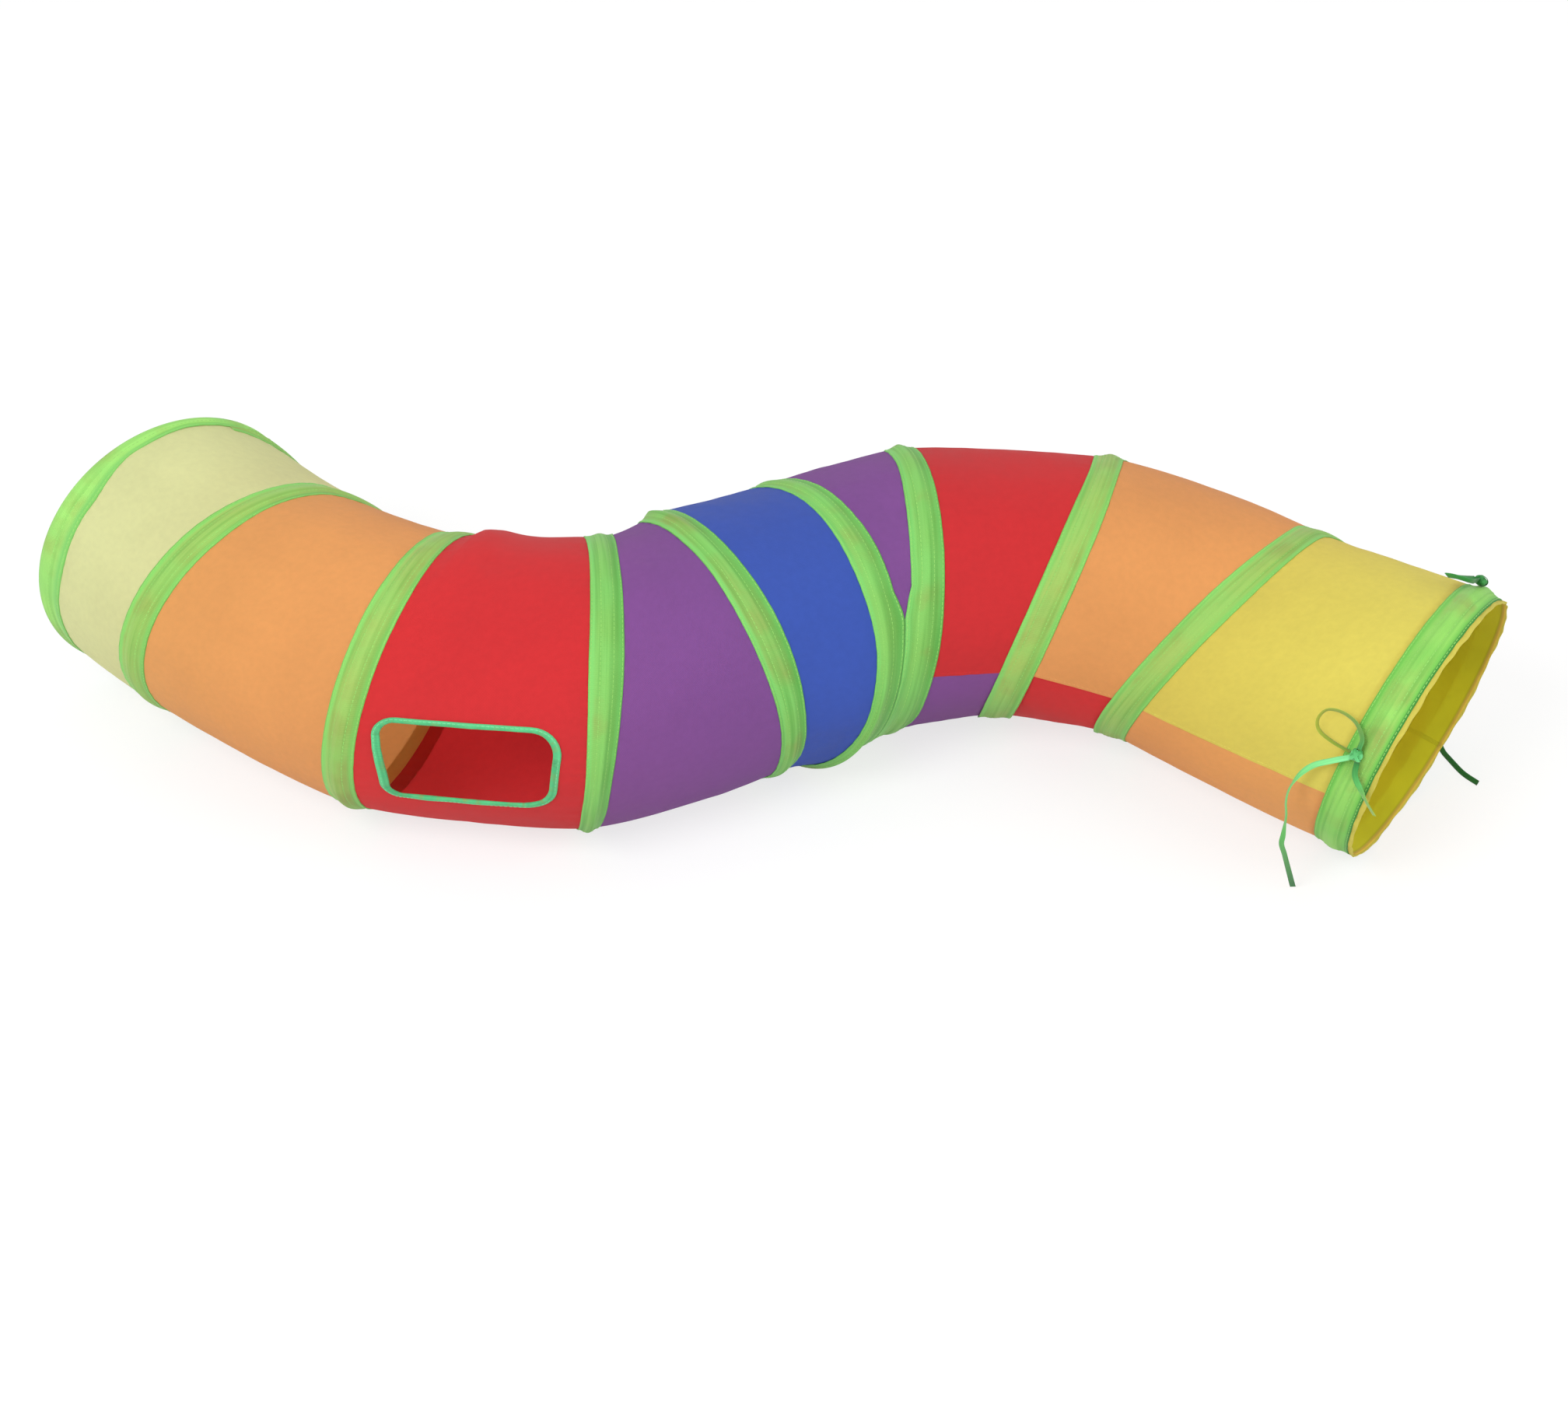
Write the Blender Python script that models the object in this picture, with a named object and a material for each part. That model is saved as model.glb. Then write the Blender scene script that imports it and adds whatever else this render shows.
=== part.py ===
"""Pop-up cat tunnel, lying in an S on the floor.

A spiral of spring steel wire holds a fabric tube open. It starts and ends in a closed ring,
and each turn between them runs in a stitched tape. The fabric is pieced from bands of one
turn each, joined with an offset of one turn, so every band meets the next one at the seam.
Sizes are in metres. Angles round the tube are in degrees: 0 is the side towards -Y, 90 is
the top. +X runs along the tunnel, and the object stands on z = 0.
"""

from functools import lru_cache
from math import atan2, cos, degrees, radians, sin, tan

import bmesh
import bpy
from mathutils import Matrix, Vector

# Fabric tube
TUBE_RADIUS = 0.1246
FABRIC_THICKNESS = 0.001
HEM_LIP = 0.004

# Spring wire and its tape
WIRE_DIAMETER = 0.0025
TAPE_WIDTH = 0.033
TAPE_THICKNESS = 0.001
RIDGE_SLOPE = 0.002
FOLDED_PITCH = 0.006

# Window in the third band
WINDOW_BAND = 3
WINDOW_WIDTH = 0.150
WINDOW_HEIGHT = 0.080
WINDOW_CORNER = 0.026
WINDOW_ANGLE = 1.5
WINDOW_SHARE = 0.485
BINDING_WIDTH = 0.005
BINDING_THICKNESS = 0.0008
CUTTER_REACH = 0.010
CORNER_STEPS = 4

# Ribbon ties at the right-hand mouth. Each is a list of points chosen along its route
RIBBON_DIAMETER = 0.0032
RIBBON_POINT_SPACING = 0.009
KNOT_LENGTH = 0.011
KNOT_HEIGHT = 0.008
KNOT_SIDES = 10
KNOT_RINGS = 7
NEAR_KNOT_ANGLE = 23
FAR_KNOT_ANGLE = 121
KNOT_FROM_RING = 0.004
NEAR_LOOP = (
    (0.4858, -0.2100, 0.1784),
    (0.4724, -0.1995, 0.1804),
    (0.4623, -0.1914, 0.1855),
    (0.4608, -0.1863, 0.1935),
    (0.4676, -0.1847, 0.2020),
    (0.4790, -0.1894, 0.2037),
    (0.4900, -0.1980, 0.1995),
    (0.4950, -0.2070, 0.1905),
    (0.4924, -0.2123, 0.1832),
)
NEAR_LONG_END = (
    (0.4858, -0.2121, 0.1744),
    (0.4725, -0.2070, 0.1660),
    (0.4588, -0.2020, 0.1565),
    (0.4485, -0.2010, 0.1450),
    (0.4415, -0.2025, 0.1310),
    (0.4398, -0.2040, 0.1180),
    (0.4412, -0.2050, 0.1030),
    (0.4408, -0.2055, 0.0830),
    (0.4406, -0.2035, 0.0700),
    (0.4450, -0.1992, 0.0540),
    (0.4492, -0.1948, 0.0380),
    (0.4534, -0.1903, 0.0220),
    (0.4568, -0.1865, 0.0090),
    (0.4586, -0.1845, 0.0024),
)
NEAR_SHORT_END = (
    (0.4915, -0.2162, 0.1723),
    (0.4905, -0.2198, 0.1610),
    (0.4955, -0.2262, 0.1512),
    (0.5010, -0.2310, 0.1410),
    (0.5080, -0.2345, 0.1300),
)
FAR_LOOP = (
    (0.6027, -0.0606, 0.2410),
    (0.5882, -0.0691, 0.2485),
    (0.5788, -0.0725, 0.2528),
    (0.5745, -0.0760, 0.2565),
    (0.5780, -0.0800, 0.2590),
    (0.5850, -0.0845, 0.2600),
    (0.5915, -0.0860, 0.2585),
    (0.5965, -0.0800, 0.2530),
    (0.6005, -0.0710, 0.2462),
    (0.6049, -0.0643, 0.2413),
)
FAR_END = (
    (0.6091, -0.0558, 0.2346),
    (0.6163, -0.0265, 0.2112),
    (0.6237, -0.0022, 0.1728),
    (0.6235, 0.0120, 0.1282),
    (0.6200, 0.0140, 0.0950),
    (0.6160, 0.0115, 0.0600),
    (0.6115, 0.0070, 0.0250),
    (0.6100, 0.0000, 0.0070),
    (0.6120, -0.0090, 0.0022),
    (0.6175, -0.0220, 0.0020),
    (0.6260, -0.0390, 0.0020),
    (0.6370, -0.0520, 0.0020),
)

# Gap between neighbouring pieces, slack under the tape, and how far the lowest faces are pressed flat
CLEARANCE = 0.0003
TAPE_SLACK = 0.0010
FOOT_PRESS = 0.0003

# How it lies: span from the hoop before, bearing of that span, heading and lean of the hoop
LAYOUT = (
    (0.000, 0, -54, 2),
    (0.117, -44, -50, 12),
    (0.175, -34, -24, 8),
    (0.161, -6, 5, 7),
    (0.112, 27, 35, -5),
    (0.080, 23, 36, 14),
    (0.098, 29, 9, 9),
    (0.143, 4, -17, 17),
    (0.152, -23, -41, 25),
    (0.198, -39, -34, 11),
)
LAST = len(LAYOUT) - 1
ROOT_HOOP = 4

# The wire climbs to the next hoop at the back
RAMP_START = 120
RAMP_END = 228

# The fabric's seam runs low along the back, and along the front from the sixth band on
SEAM_LEFT = -132
SEAM_RIGHT = 0
SEAM_CHANGE = 6
NARROWEST_END = 0.004

# How finely the shapes are divided
STEP = 12
WIRE_SIDES = 5
WINDOW_PATCH = 3 * STEP
SHARP_ANGLE = 40

# Radii through the layers, from the fabric outwards
WIRE_RADIUS = WIRE_DIAMETER / 2
TAPE_IN = TUBE_RADIUS + TAPE_SLACK
TAPE_OUT = TAPE_IN + TAPE_THICKNESS
WIRE_CENTRE = TAPE_IN + WIRE_RADIUS
CHANNEL_TOP = WIRE_CENTRE + WIRE_RADIUS + CLEARANCE
RIDGE_TOP = CHANNEL_TOP + TAPE_THICKNESS
CHANNEL_HALF = WIRE_RADIUS + CLEARANCE
RIDGE_FOOT = CHANNEL_HALF + RIDGE_SLOPE

COLOURS = {
    "pale_yellow": (0.76, 0.74, 0.35),
    "orange": (0.86, 0.37, 0.11),
    "red": (0.66, 0.05, 0.05),
    "purple": (0.24, 0.09, 0.32),
    "blue": (0.06, 0.12, 0.50),
    "yellow": (0.79, 0.67, 0.11),
    "green_tape": (0.20, 0.55, 0.12),
    "mint_tape": (0.15, 0.68, 0.30),
    "ribbon_green": (0.13, 0.50, 0.18),
    "spring_steel": (0.55, 0.55, 0.56),
}
BAND_COLOURS = (
    "pale_yellow",
    "orange",
    "red",
    "purple",
    "blue",
    "purple",
    "red",
    "orange",
    "yellow",
)


def clear_scene():
    for obj in list(bpy.data.objects):
        bpy.data.objects.remove(obj, do_unlink=True)


@lru_cache(maxsize=None)
def material(name):
    made = bpy.data.materials.new(name)
    made.use_nodes = True
    shader = made.node_tree.nodes["Principled BSDF"]
    metal = name == "spring_steel"
    shader.inputs["Base Color"].default_value = (*COLOURS[name], 1)
    shader.inputs["Roughness"].default_value = 0.35 if metal else 0.8
    shader.inputs["Metallic"].default_value = 1.0 if metal else 0.0
    return made


# Where the hoops stand


def angles(start, end):
    return list(range(start, end + 1, STEP))


def unplaced_hoops():
    """Centre, side and up of each hoop's plane, with the first hoop over the origin."""
    height = RIDGE_TOP * cos(radians(STEP / 2)) - FOOT_PRESS
    x = y = 0.0
    hoops = []
    for span, bearing, heading, lean in LAYOUT:
        x += span * cos(radians(bearing))
        y += span * sin(radians(bearing))
        along = Vector((cos(radians(heading)), sin(radians(heading)), 0))
        side = Vector((along.y, -along.x, 0))
        up = Vector((0, 0, cos(radians(lean)))) + along * sin(radians(lean))
        hoops.append((Vector((x, y, height * cos(radians(lean)))), side, up))
    return hoops


def centred(hoops):
    """The same hoops, moved so that their outline is centred on the origin."""
    hem = (TUBE_RADIUS, TAPE_WIDTH / 2 + HEM_LIP)
    edges = ((RIDGE_TOP, CHANNEL_HALF), (TAPE_OUT, TAPE_WIDTH / 2))
    reach = [[], []]
    for centre, side, up in hoops:
        axis = up.cross(side)
        at_mouth = centre in (hoops[0][0], hoops[-1][0])
        for turn in angles(0, 360):
            ray = side * cos(radians(turn)) + up * sin(radians(turn))
            for out, along in (*edges, hem) if at_mouth else edges:
                for point in (ray * out + axis * along, ray * out - axis * along):
                    reach[0].append(centre.x + point.x)
                    reach[1].append(centre.y + point.y)
    shift = Vector([(min(values) + max(values)) / 2 for values in reach] + [0])
    return [(centre - shift, side, up) for centre, side, up in hoops]


HOOPS = centred(unplaced_hoops())


def hoop_axis(index):
    side, up = HOOPS[index][1:]
    return up.cross(side)


def hoop_point(index, angle, radius):
    centre, side, up = HOOPS[index]
    return centre + (side * cos(radians(angle)) + up * sin(radians(angle))) * radius


def ramp(angle):
    """Share of the way to the next hoop that the wire has climbed, from 0 to 1."""
    share = min(max((angle - RAMP_START) / (RAMP_END - RAMP_START), 0), 1)
    return share * share * (3 - 2 * share)


def turn_point(turn, angle, radius):
    """Point above the wire of one turn, for an angle from SEAM_LEFT to a full turn past it."""
    low = hoop_point(turn, angle, radius)
    return low.lerp(hoop_point(turn + 1, angle, radius), ramp(angle))


@lru_cache(maxsize=None)
def lines(angle, radius):
    """Every wire line met along the tube at one angle: the first ring, the turns, the last ring."""
    turned = [turn_point(turn, angle, radius) for turn in range(LAST)]
    return hoop_point(0, angle, radius), *turned, hoop_point(LAST, angle, radius)


def beside(line, angle, along, radius):
    """Point at a distance along the tube from one wire line, following the fabric."""
    points = lines(angle, radius)
    step = 1 if along > 0 else -1
    left = abs(along)
    here = points[line]
    for there in points[line + step :: step] if line + step >= 0 else ():
        length = (there - here).length
        if length > left:
            return here.lerp(there, left / length)
        left -= length
        here = there
    axis = hoop_axis(LAST) if step > 0 else -hoop_axis(0)
    return here + axis * left


def on_floor(point):
    return Vector((point.x, point.y, max(point.z, 0)))


# Building meshes


def new_object(name, mesh, colour, hoop):
    made = bpy.data.objects.new(name, mesh)
    bpy.context.scene.collection.objects.link(made)
    mesh.materials.append(material(colour))
    made.parent = HINGES[hoop]
    made.matrix_parent_inverse = HINGES[hoop].matrix_world.inverted()
    return made


def sweep_mesh(name, sections, closed):
    """Mesh through a row of like cross-sections, capped at both ends unless it closes on itself."""
    shape = bmesh.new()
    rows = [[shape.verts.new(on_floor(point)) for point in section] for section in sections]
    around = len(rows[0])
    pairs = list(zip(rows, rows[1:] + rows[:1] if closed else rows[1:]))
    for row, following in pairs:
        for i in range(around):
            j = (i + 1) % around
            shape.faces.new((row[i], row[j], following[j], following[i]))
    if not closed:
        shape.faces.new(rows[0])
        shape.faces.new(rows[-1])
    bmesh.ops.recalc_face_normals(shape, faces=shape.faces)
    bmesh.ops.triangulate(shape, faces=shape.faces, quad_method="SHORT_EDGE")
    mesh = bpy.data.meshes.new(name)
    shape.to_mesh(mesh)
    shape.free()
    mesh.shade_smooth()
    mesh.set_sharp_from_angle(angle=radians(SHARP_ANGLE))
    return mesh


def sweep(name, sections, colour, hoop, closed=False):
    return new_object(name, sweep_mesh(name, sections, closed), colour, hoop)


def tape_section(line, angle):
    """Flat wings on both sides of a ridge, with the wire's channel under it."""
    wing = TAPE_WIDTH / 2
    profile = (
        (-wing, TAPE_IN),
        (-CHANNEL_HALF, TAPE_IN),
        (-CHANNEL_HALF, CHANNEL_TOP),
        (CHANNEL_HALF, CHANNEL_TOP),
        (CHANNEL_HALF, TAPE_IN),
        (wing, TAPE_IN),
        (wing, TAPE_OUT),
        (RIDGE_FOOT, TAPE_OUT),
        (CHANNEL_HALF, RIDGE_TOP),
        (-CHANNEL_HALF, RIDGE_TOP),
        (-RIDGE_FOOT, TAPE_OUT),
        (-wing, TAPE_OUT),
    )
    return [beside(line, angle, along, radius) for along, radius in profile]


def wire_section(line, angle):
    points = []
    for i in range(WIRE_SIDES):
        turn = radians(360 * i / WIRE_SIDES)
        along = WIRE_RADIUS * cos(turn)
        points.append(beside(line, angle, along, WIRE_CENTRE + WIRE_RADIUS * sin(turn)))
    return points


def clear_span(low, high, angle):
    points = lines(angle, TUBE_RADIUS)
    return (points[high] - points[low]).length


def first_clear(low, high, width):
    """First angle past RAMP_START where two wire lines stand a width apart."""
    return next(a for a in angles(RAMP_START, RAMP_END) if clear_span(low, high, a) > width)


def last_clear(low, high, width):
    return next(a for a in angles(RAMP_START, RAMP_END)[::-1] if clear_span(low, high, a) > width)


def make_end_rings():
    """The closed rings at both mouths, with their tape and the hem of the fabric."""
    for hoop, line, out in ((0, 0, -1), (LAST, LAST + 1, 1)):
        around = angles(SEAM_LEFT, SEAM_LEFT + 360 - STEP)
        wire = [wire_section(line, angle) for angle in around]
        sweep(f"spring_ring_{hoop}", wire, "spring_steel", hoop, closed=True)
        tape = [tape_section(line, angle) for angle in around]
        sweep(f"tape_band_{hoop}", tape, "green_tape", hoop, closed=True)
        hem = [hem_section(line, angle, out) for angle in around]
        colour = BAND_COLOURS[0] if hoop == 0 else BAND_COLOURS[-1]
        sweep(f"mouth_hem_{hoop}", hem, colour, hoop, closed=True)


def hem_section(line, angle, out):
    ends = (out * CLEARANCE / 2, out * (TAPE_WIDTH / 2 + HEM_LIP))
    low, high = TUBE_RADIUS - FABRIC_THICKNESS, TUBE_RADIUS
    profile = ((ends[0], low), (ends[1], low), (ends[1], high), (ends[0], high))
    return [beside(line, angle, along, radius) for along, radius in profile]


def make_spring():
    """The turns between the rings: a flat arc on each hoop, and a link that climbs to the next."""
    for hoop in range(1, LAST):
        arc = [wire_section(hoop + 1, angle) for angle in angles(SEAM_LEFT, RAMP_START)]
        sweep(f"spring_turn_{hoop}", shortened(arc), "spring_steel", hoop)
    free = TAPE_WIDTH + CLEARANCE
    for hoop in range(1, LAST + 1):
        start = first_clear(0, 1, free) if hoop == 1 else RAMP_START
        end = last_clear(LAST, LAST + 1, free) if hoop == LAST else RAMP_END
        climb = [wire_section(hoop, angle) for angle in angles(start, end)]
        sweep(f"spring_link_{hoop}", shortened(climb), "spring_steel", hoop)


def shortened(sections):
    """The same sweep with each end drawn back by half a clearance."""
    for end, inner in ((0, 1), (-1, -2)):
        span = (sections[end][0] - sections[inner][0]).length
        share = CLEARANCE / 2 / span
        sections[end] = [a.lerp(b, share) for a, b in zip(sections[end], sections[inner])]
    return sections


def make_tapes():
    """One length of tape for each turn of the wire, and the tail that runs into the last ring."""
    free = TAPE_WIDTH + CLEARANCE
    for hoop in range(1, LAST + 1):
        start = first_clear(0, 1, free) if hoop == 1 else RAMP_START
        end = last_clear(LAST, LAST + 1, free) if hoop == LAST else RAMP_END
        sections = [tape_section(hoop, angle) for angle in angles(start, end)]
        if hoop < LAST:
            arc = angles(SEAM_LEFT + STEP, RAMP_START)
            sections += [tape_section(hoop + 1, angle) for angle in arc]
        name = f"tape_band_{hoop}" if hoop < LAST else "tape_tail"
        sweep(name, shortened(sections), "green_tape", hoop)


def band_seams(band):
    """Angles where one band of fabric starts and ends."""
    start = SEAM_LEFT if band <= SEAM_CHANGE else SEAM_RIGHT
    end = SEAM_LEFT if band < SEAM_CHANGE else SEAM_RIGHT
    return start, end + 360


def cloth_section(low, high, angle, inner, outer):
    """Cross-section of fabric between two wire lines, just clear of its neighbours' edges."""
    edge = CLEARANCE / 2
    return [
        beside(low, angle, edge, inner),
        beside(high, angle, -edge, inner),
        beside(high, angle, -edge, outer),
        beside(low, angle, edge, outer),
    ]


def fabric_section(low, high, angle):
    return cloth_section(low, high, angle, TUBE_RADIUS - FABRIC_THICKNESS, TUBE_RADIUS)


def make_bands():
    """The bands of fabric, each one turn long, from seam to seam."""
    for band in range(1, LAST + 1):
        start, end = band_seams(band)
        if band == LAST:
            end = last_clear(LAST, LAST + 1, NARROWEST_END)
        sections = [fabric_section(band, band + 1, angle) for angle in angles(start, end)]
        sweep(f"band_{band}", shortened(sections), BAND_COLOURS[band - 1], band)
    start = first_clear(0, 1, NARROWEST_END)
    sections = [fabric_section(0, 1, angle) for angle in angles(start, SEAM_LEFT + 360)]
    sweep("mouth_gusset", shortened(sections), BAND_COLOURS[0], 0)


# Window


def window_outline(margin):
    """Rounded rectangle as (distance along the band, distance up), from its middle."""
    corner = WINDOW_CORNER + margin
    half_width = WINDOW_WIDTH / 2 + margin - corner
    half_height = WINDOW_HEIGHT / 2 + margin - corner
    points = []
    for quarter, (x, y) in enumerate(((1, 1), (-1, 1), (-1, -1), (1, -1))):
        for i in range(CORNER_STEPS + 1):
            turn = radians(90 * (quarter + i / CORNER_STEPS))
            points.append((x * half_width + corner * cos(turn), y * half_height + corner * sin(turn)))
    return points


def window_point(along, up, radius):
    angle = WINDOW_ANGLE + degrees(up / TUBE_RADIUS)
    low, high = lines(angle, radius)[WINDOW_BAND : WINDOW_BAND + 2]
    share = WINDOW_SHARE + along / (high - low).length
    return low.lerp(high, share)


def window_cutter(name, margin):
    outline = window_outline(margin)
    sections = []
    for radius in (TUBE_RADIUS - CUTTER_REACH, TUBE_RADIUS + CUTTER_REACH):
        sections.append([window_point(along, up, radius) for along, up in outline])
    cutter = sweep(name, sections, "mint_tape", WINDOW_BAND)
    cutter.hide_render = True
    cutter.display_type = "WIRE"
    return cutter


def cut(target, cutter, operation):
    modifier = target.modifiers.new(cutter.name, "BOOLEAN")
    modifier.operation = operation
    modifier.object = cutter
    modifier.solver = "EXACT"


def make_window():
    """The hole in the third band, and the tape that binds its edge."""
    opening = window_cutter("window_opening", 0)
    rim = window_cutter("window_rim", BINDING_WIDTH)
    cut(bpy.data.objects[f"band_{WINDOW_BAND}"], opening, "DIFFERENCE")
    inner = TUBE_RADIUS + CLEARANCE
    outer = inner + BINDING_THICKNESS
    sections = []
    for angle in angles(-WINDOW_PATCH, WINDOW_PATCH):
        sections.append(cloth_section(WINDOW_BAND, WINDOW_BAND + 1, angle, inner, outer))
    binding = sweep("window_binding", sections, "mint_tape", WINDOW_BAND)
    cut(binding, rim, "INTERSECT")
    cut(binding, opening, "DIFFERENCE")


# Ribbon ties


def smooth_route(points):
    """Evenly spaced points along a smooth curve through the given ones."""
    given = [Vector(point) for point in points]
    ends = [given[0] * 2 - given[1], *given, given[-1] * 2 - given[-2]]
    route = []
    for before, start, end, after in zip(ends, ends[1:], ends[2:], ends[3:]):
        pieces = max(1, round((end - start).length / RIBBON_POINT_SPACING))
        for i in range(pieces):
            t = i / pieces
            pull = (end - before) * (t - 2 * t * t + t**3) / 2 + (after - start) * (t**3 - t * t) / 2
            route.append(start.lerp(end, 3 * t * t - 2 * t**3) + pull)
    return [*route, given[-1]]


def make_ribbon(name, points):
    route = smooth_route(points)
    curve = bpy.data.curves.new(name, "CURVE")
    curve.dimensions = "3D"
    curve.bevel_depth = RIBBON_DIAMETER / 2
    curve.bevel_resolution = 2
    curve.use_fill_caps = True
    spline = curve.splines.new("POLY")
    spline.points.add(len(route) - 1)
    for node, place in zip(spline.points, route):
        node.co = (*place, 1)
    new_object(name, curve, "ribbon_green", LAST)


def make_knot(name, angle):
    """Knot that sits on the ridge of the last ring's tape."""
    ring = LAST + 1
    lift = RIDGE_TOP + CLEARANCE + KNOT_HEIGHT / 2
    centre = beside(ring, angle, -KNOT_FROM_RING, lift)
    outwards = (centre - beside(ring, angle, -KNOT_FROM_RING, TUBE_RADIUS)).normalized()
    shape = bmesh.new()
    bmesh.ops.create_uvsphere(shape, u_segments=KNOT_SIDES, v_segments=KNOT_RINGS, radius=0.5)
    size = Matrix.Diagonal((KNOT_LENGTH, KNOT_LENGTH, KNOT_HEIGHT, 1))
    turn = outwards.to_track_quat("Z", "Y").to_matrix().to_4x4()
    shape.transform(Matrix.Translation(centre) @ turn @ size)
    mesh = bpy.data.meshes.new(name)
    shape.to_mesh(mesh)
    shape.free()
    mesh.shade_smooth()
    new_object(name, mesh, "ribbon_green", LAST)


def make_ties():
    make_knot("near_tie_knot", NEAR_KNOT_ANGLE)
    make_ribbon("near_tie_loop", NEAR_LOOP)
    make_ribbon("near_tie_long_end", NEAR_LONG_END)
    make_ribbon("near_tie_short_end", NEAR_SHORT_END)
    make_knot("far_tie_knot", FAR_KNOT_ANGLE)
    make_ribbon("far_tie_loop", FAR_LOOP)
    make_ribbon("far_tie_end", FAR_END)


# Joints


def hinge(section):
    """Pivot and axis about which one section closes, until its two hoops lie ring on ring."""
    before, after = HOOPS[section - 1][0], HOOPS[section][0]
    axis_before, axis_after = hoop_axis(section - 1), hoop_axis(section)
    folded = before + axis_before * FOLDED_PITCH
    move = folded - after
    across = axis_before.cross(axis_after).normalized()
    middle = (axis_before + axis_after).normalized()
    axis = (across * middle.dot(move) - middle * across.dot(move)).normalized()
    start = axis_after - axis * axis.dot(axis_after)
    end = axis_before - axis * axis.dot(axis_before)
    turn = atan2(axis.dot(start.cross(end)), start.dot(end))
    pivot = (after + folded) / 2 + axis.cross(move) / (2 * tan(turn / 2))
    return pivot, axis if (turn > 0) == (section > ROOT_HOOP) else -axis


def make_hinges():
    """An empty on each hoop's hinge. The middle hoop carries the others, outwards in both directions."""
    hinges = {}
    for hoop in sorted(range(LAST + 1), key=lambda index: abs(index - ROOT_HOOP)):
        empty = bpy.data.objects.new(f"hoop_{hoop}", None)
        bpy.context.scene.collection.objects.link(empty)
        hinges[hoop] = empty
        if hoop == ROOT_HOOP:
            empty.location = HOOPS[hoop][0]
            empty.location.z = 0
        else:
            inward = 1 if hoop < ROOT_HOOP else -1
            section = hoop + 1 if hoop < ROOT_HOOP else hoop
            pivot, axis = hinge(section)
            empty.parent = hinges[hoop + inward]
            placed = Matrix.Translation(pivot) @ axis.to_track_quat("Z", "Y").to_matrix().to_4x4()
            empty.matrix_basis = hinges[hoop + inward].matrix_world.inverted() @ placed
        bpy.context.view_layer.update()
    return hinges


clear_scene()
HINGES = make_hinges()
make_end_rings()
make_spring()
make_tapes()
make_bands()
make_window()
make_ties()
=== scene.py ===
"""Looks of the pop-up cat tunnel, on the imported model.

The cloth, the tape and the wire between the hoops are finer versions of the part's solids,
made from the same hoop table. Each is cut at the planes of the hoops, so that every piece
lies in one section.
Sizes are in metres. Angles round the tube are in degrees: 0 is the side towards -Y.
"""

from math import cos, pi, radians, sin

import bmesh
import bpy
import numpy as np
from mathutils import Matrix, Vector


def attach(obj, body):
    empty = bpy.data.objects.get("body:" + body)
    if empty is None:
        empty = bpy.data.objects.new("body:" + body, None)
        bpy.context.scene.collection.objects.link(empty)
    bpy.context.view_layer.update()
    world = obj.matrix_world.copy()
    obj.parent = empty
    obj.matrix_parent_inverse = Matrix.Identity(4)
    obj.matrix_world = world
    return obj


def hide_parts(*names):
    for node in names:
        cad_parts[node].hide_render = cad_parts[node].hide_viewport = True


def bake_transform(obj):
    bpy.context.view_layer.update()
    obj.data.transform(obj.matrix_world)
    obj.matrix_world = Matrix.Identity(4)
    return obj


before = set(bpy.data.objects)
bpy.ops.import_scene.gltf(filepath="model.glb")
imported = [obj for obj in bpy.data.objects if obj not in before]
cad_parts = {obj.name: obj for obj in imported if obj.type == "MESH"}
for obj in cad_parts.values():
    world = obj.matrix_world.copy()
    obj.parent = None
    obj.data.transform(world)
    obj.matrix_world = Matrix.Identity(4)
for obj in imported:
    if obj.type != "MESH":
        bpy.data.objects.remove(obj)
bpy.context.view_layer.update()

# Camera, from the fit to the outlines of the hoops in the photograph
IMAGE_WIDTH = 2016
FOCAL_PIXELS = 4500
SENSOR = 36
CAMERA_PLACE = (0.0231, -2.3564, 2.0714)
CAMERA_TILT = 40.7

# The part's own sizes: its facets are STEP degrees apart, and its foot is pressed flat
TUBE_RADIUS = 0.1246
HEM_LIP = 0.004
WIRE_RADIUS = 0.00125
TAPE_WIDTH = 0.033
TAPE_OUT = TUBE_RADIUS + 0.002
RIDGE_TOP = TAPE_OUT + 0.0028
WIRE_CENTRE = TUBE_RADIUS + 0.001 + WIRE_RADIUS
CLEARANCE = 0.0003
NARROWEST_END = 0.004
STEP = 12
FOOT_PRESS = 0.0003
CHANNEL_HALF = WIRE_RADIUS + CLEARANCE
# Each hoop: how far and in which direction it is from the one before, its heading and its lean
LAYOUT = (
    (0.000, 0, -54, 2),
    (0.117, -44, -50, 12),
    (0.175, -34, -24, 8),
    (0.161, -6, 5, 7),
    (0.112, 27, 35, -5),
    (0.080, 23, 36, 14),
    (0.098, 29, 9, 9),
    (0.143, 4, -17, 17),
    (0.152, -23, -41, 25),
    (0.198, -39, -34, 11),
)
LAST = len(LAYOUT) - 1
# Between these two angles the wire climbs to the next hoop
RAMP_START = 120
RAMP_END = 228
# Where the bands of cloth meet: on the left, on the right, and the last band of the left
SEAM_LEFT = -132
SEAM_RIGHT = 0
SEAM_CHANGE = 6
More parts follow.
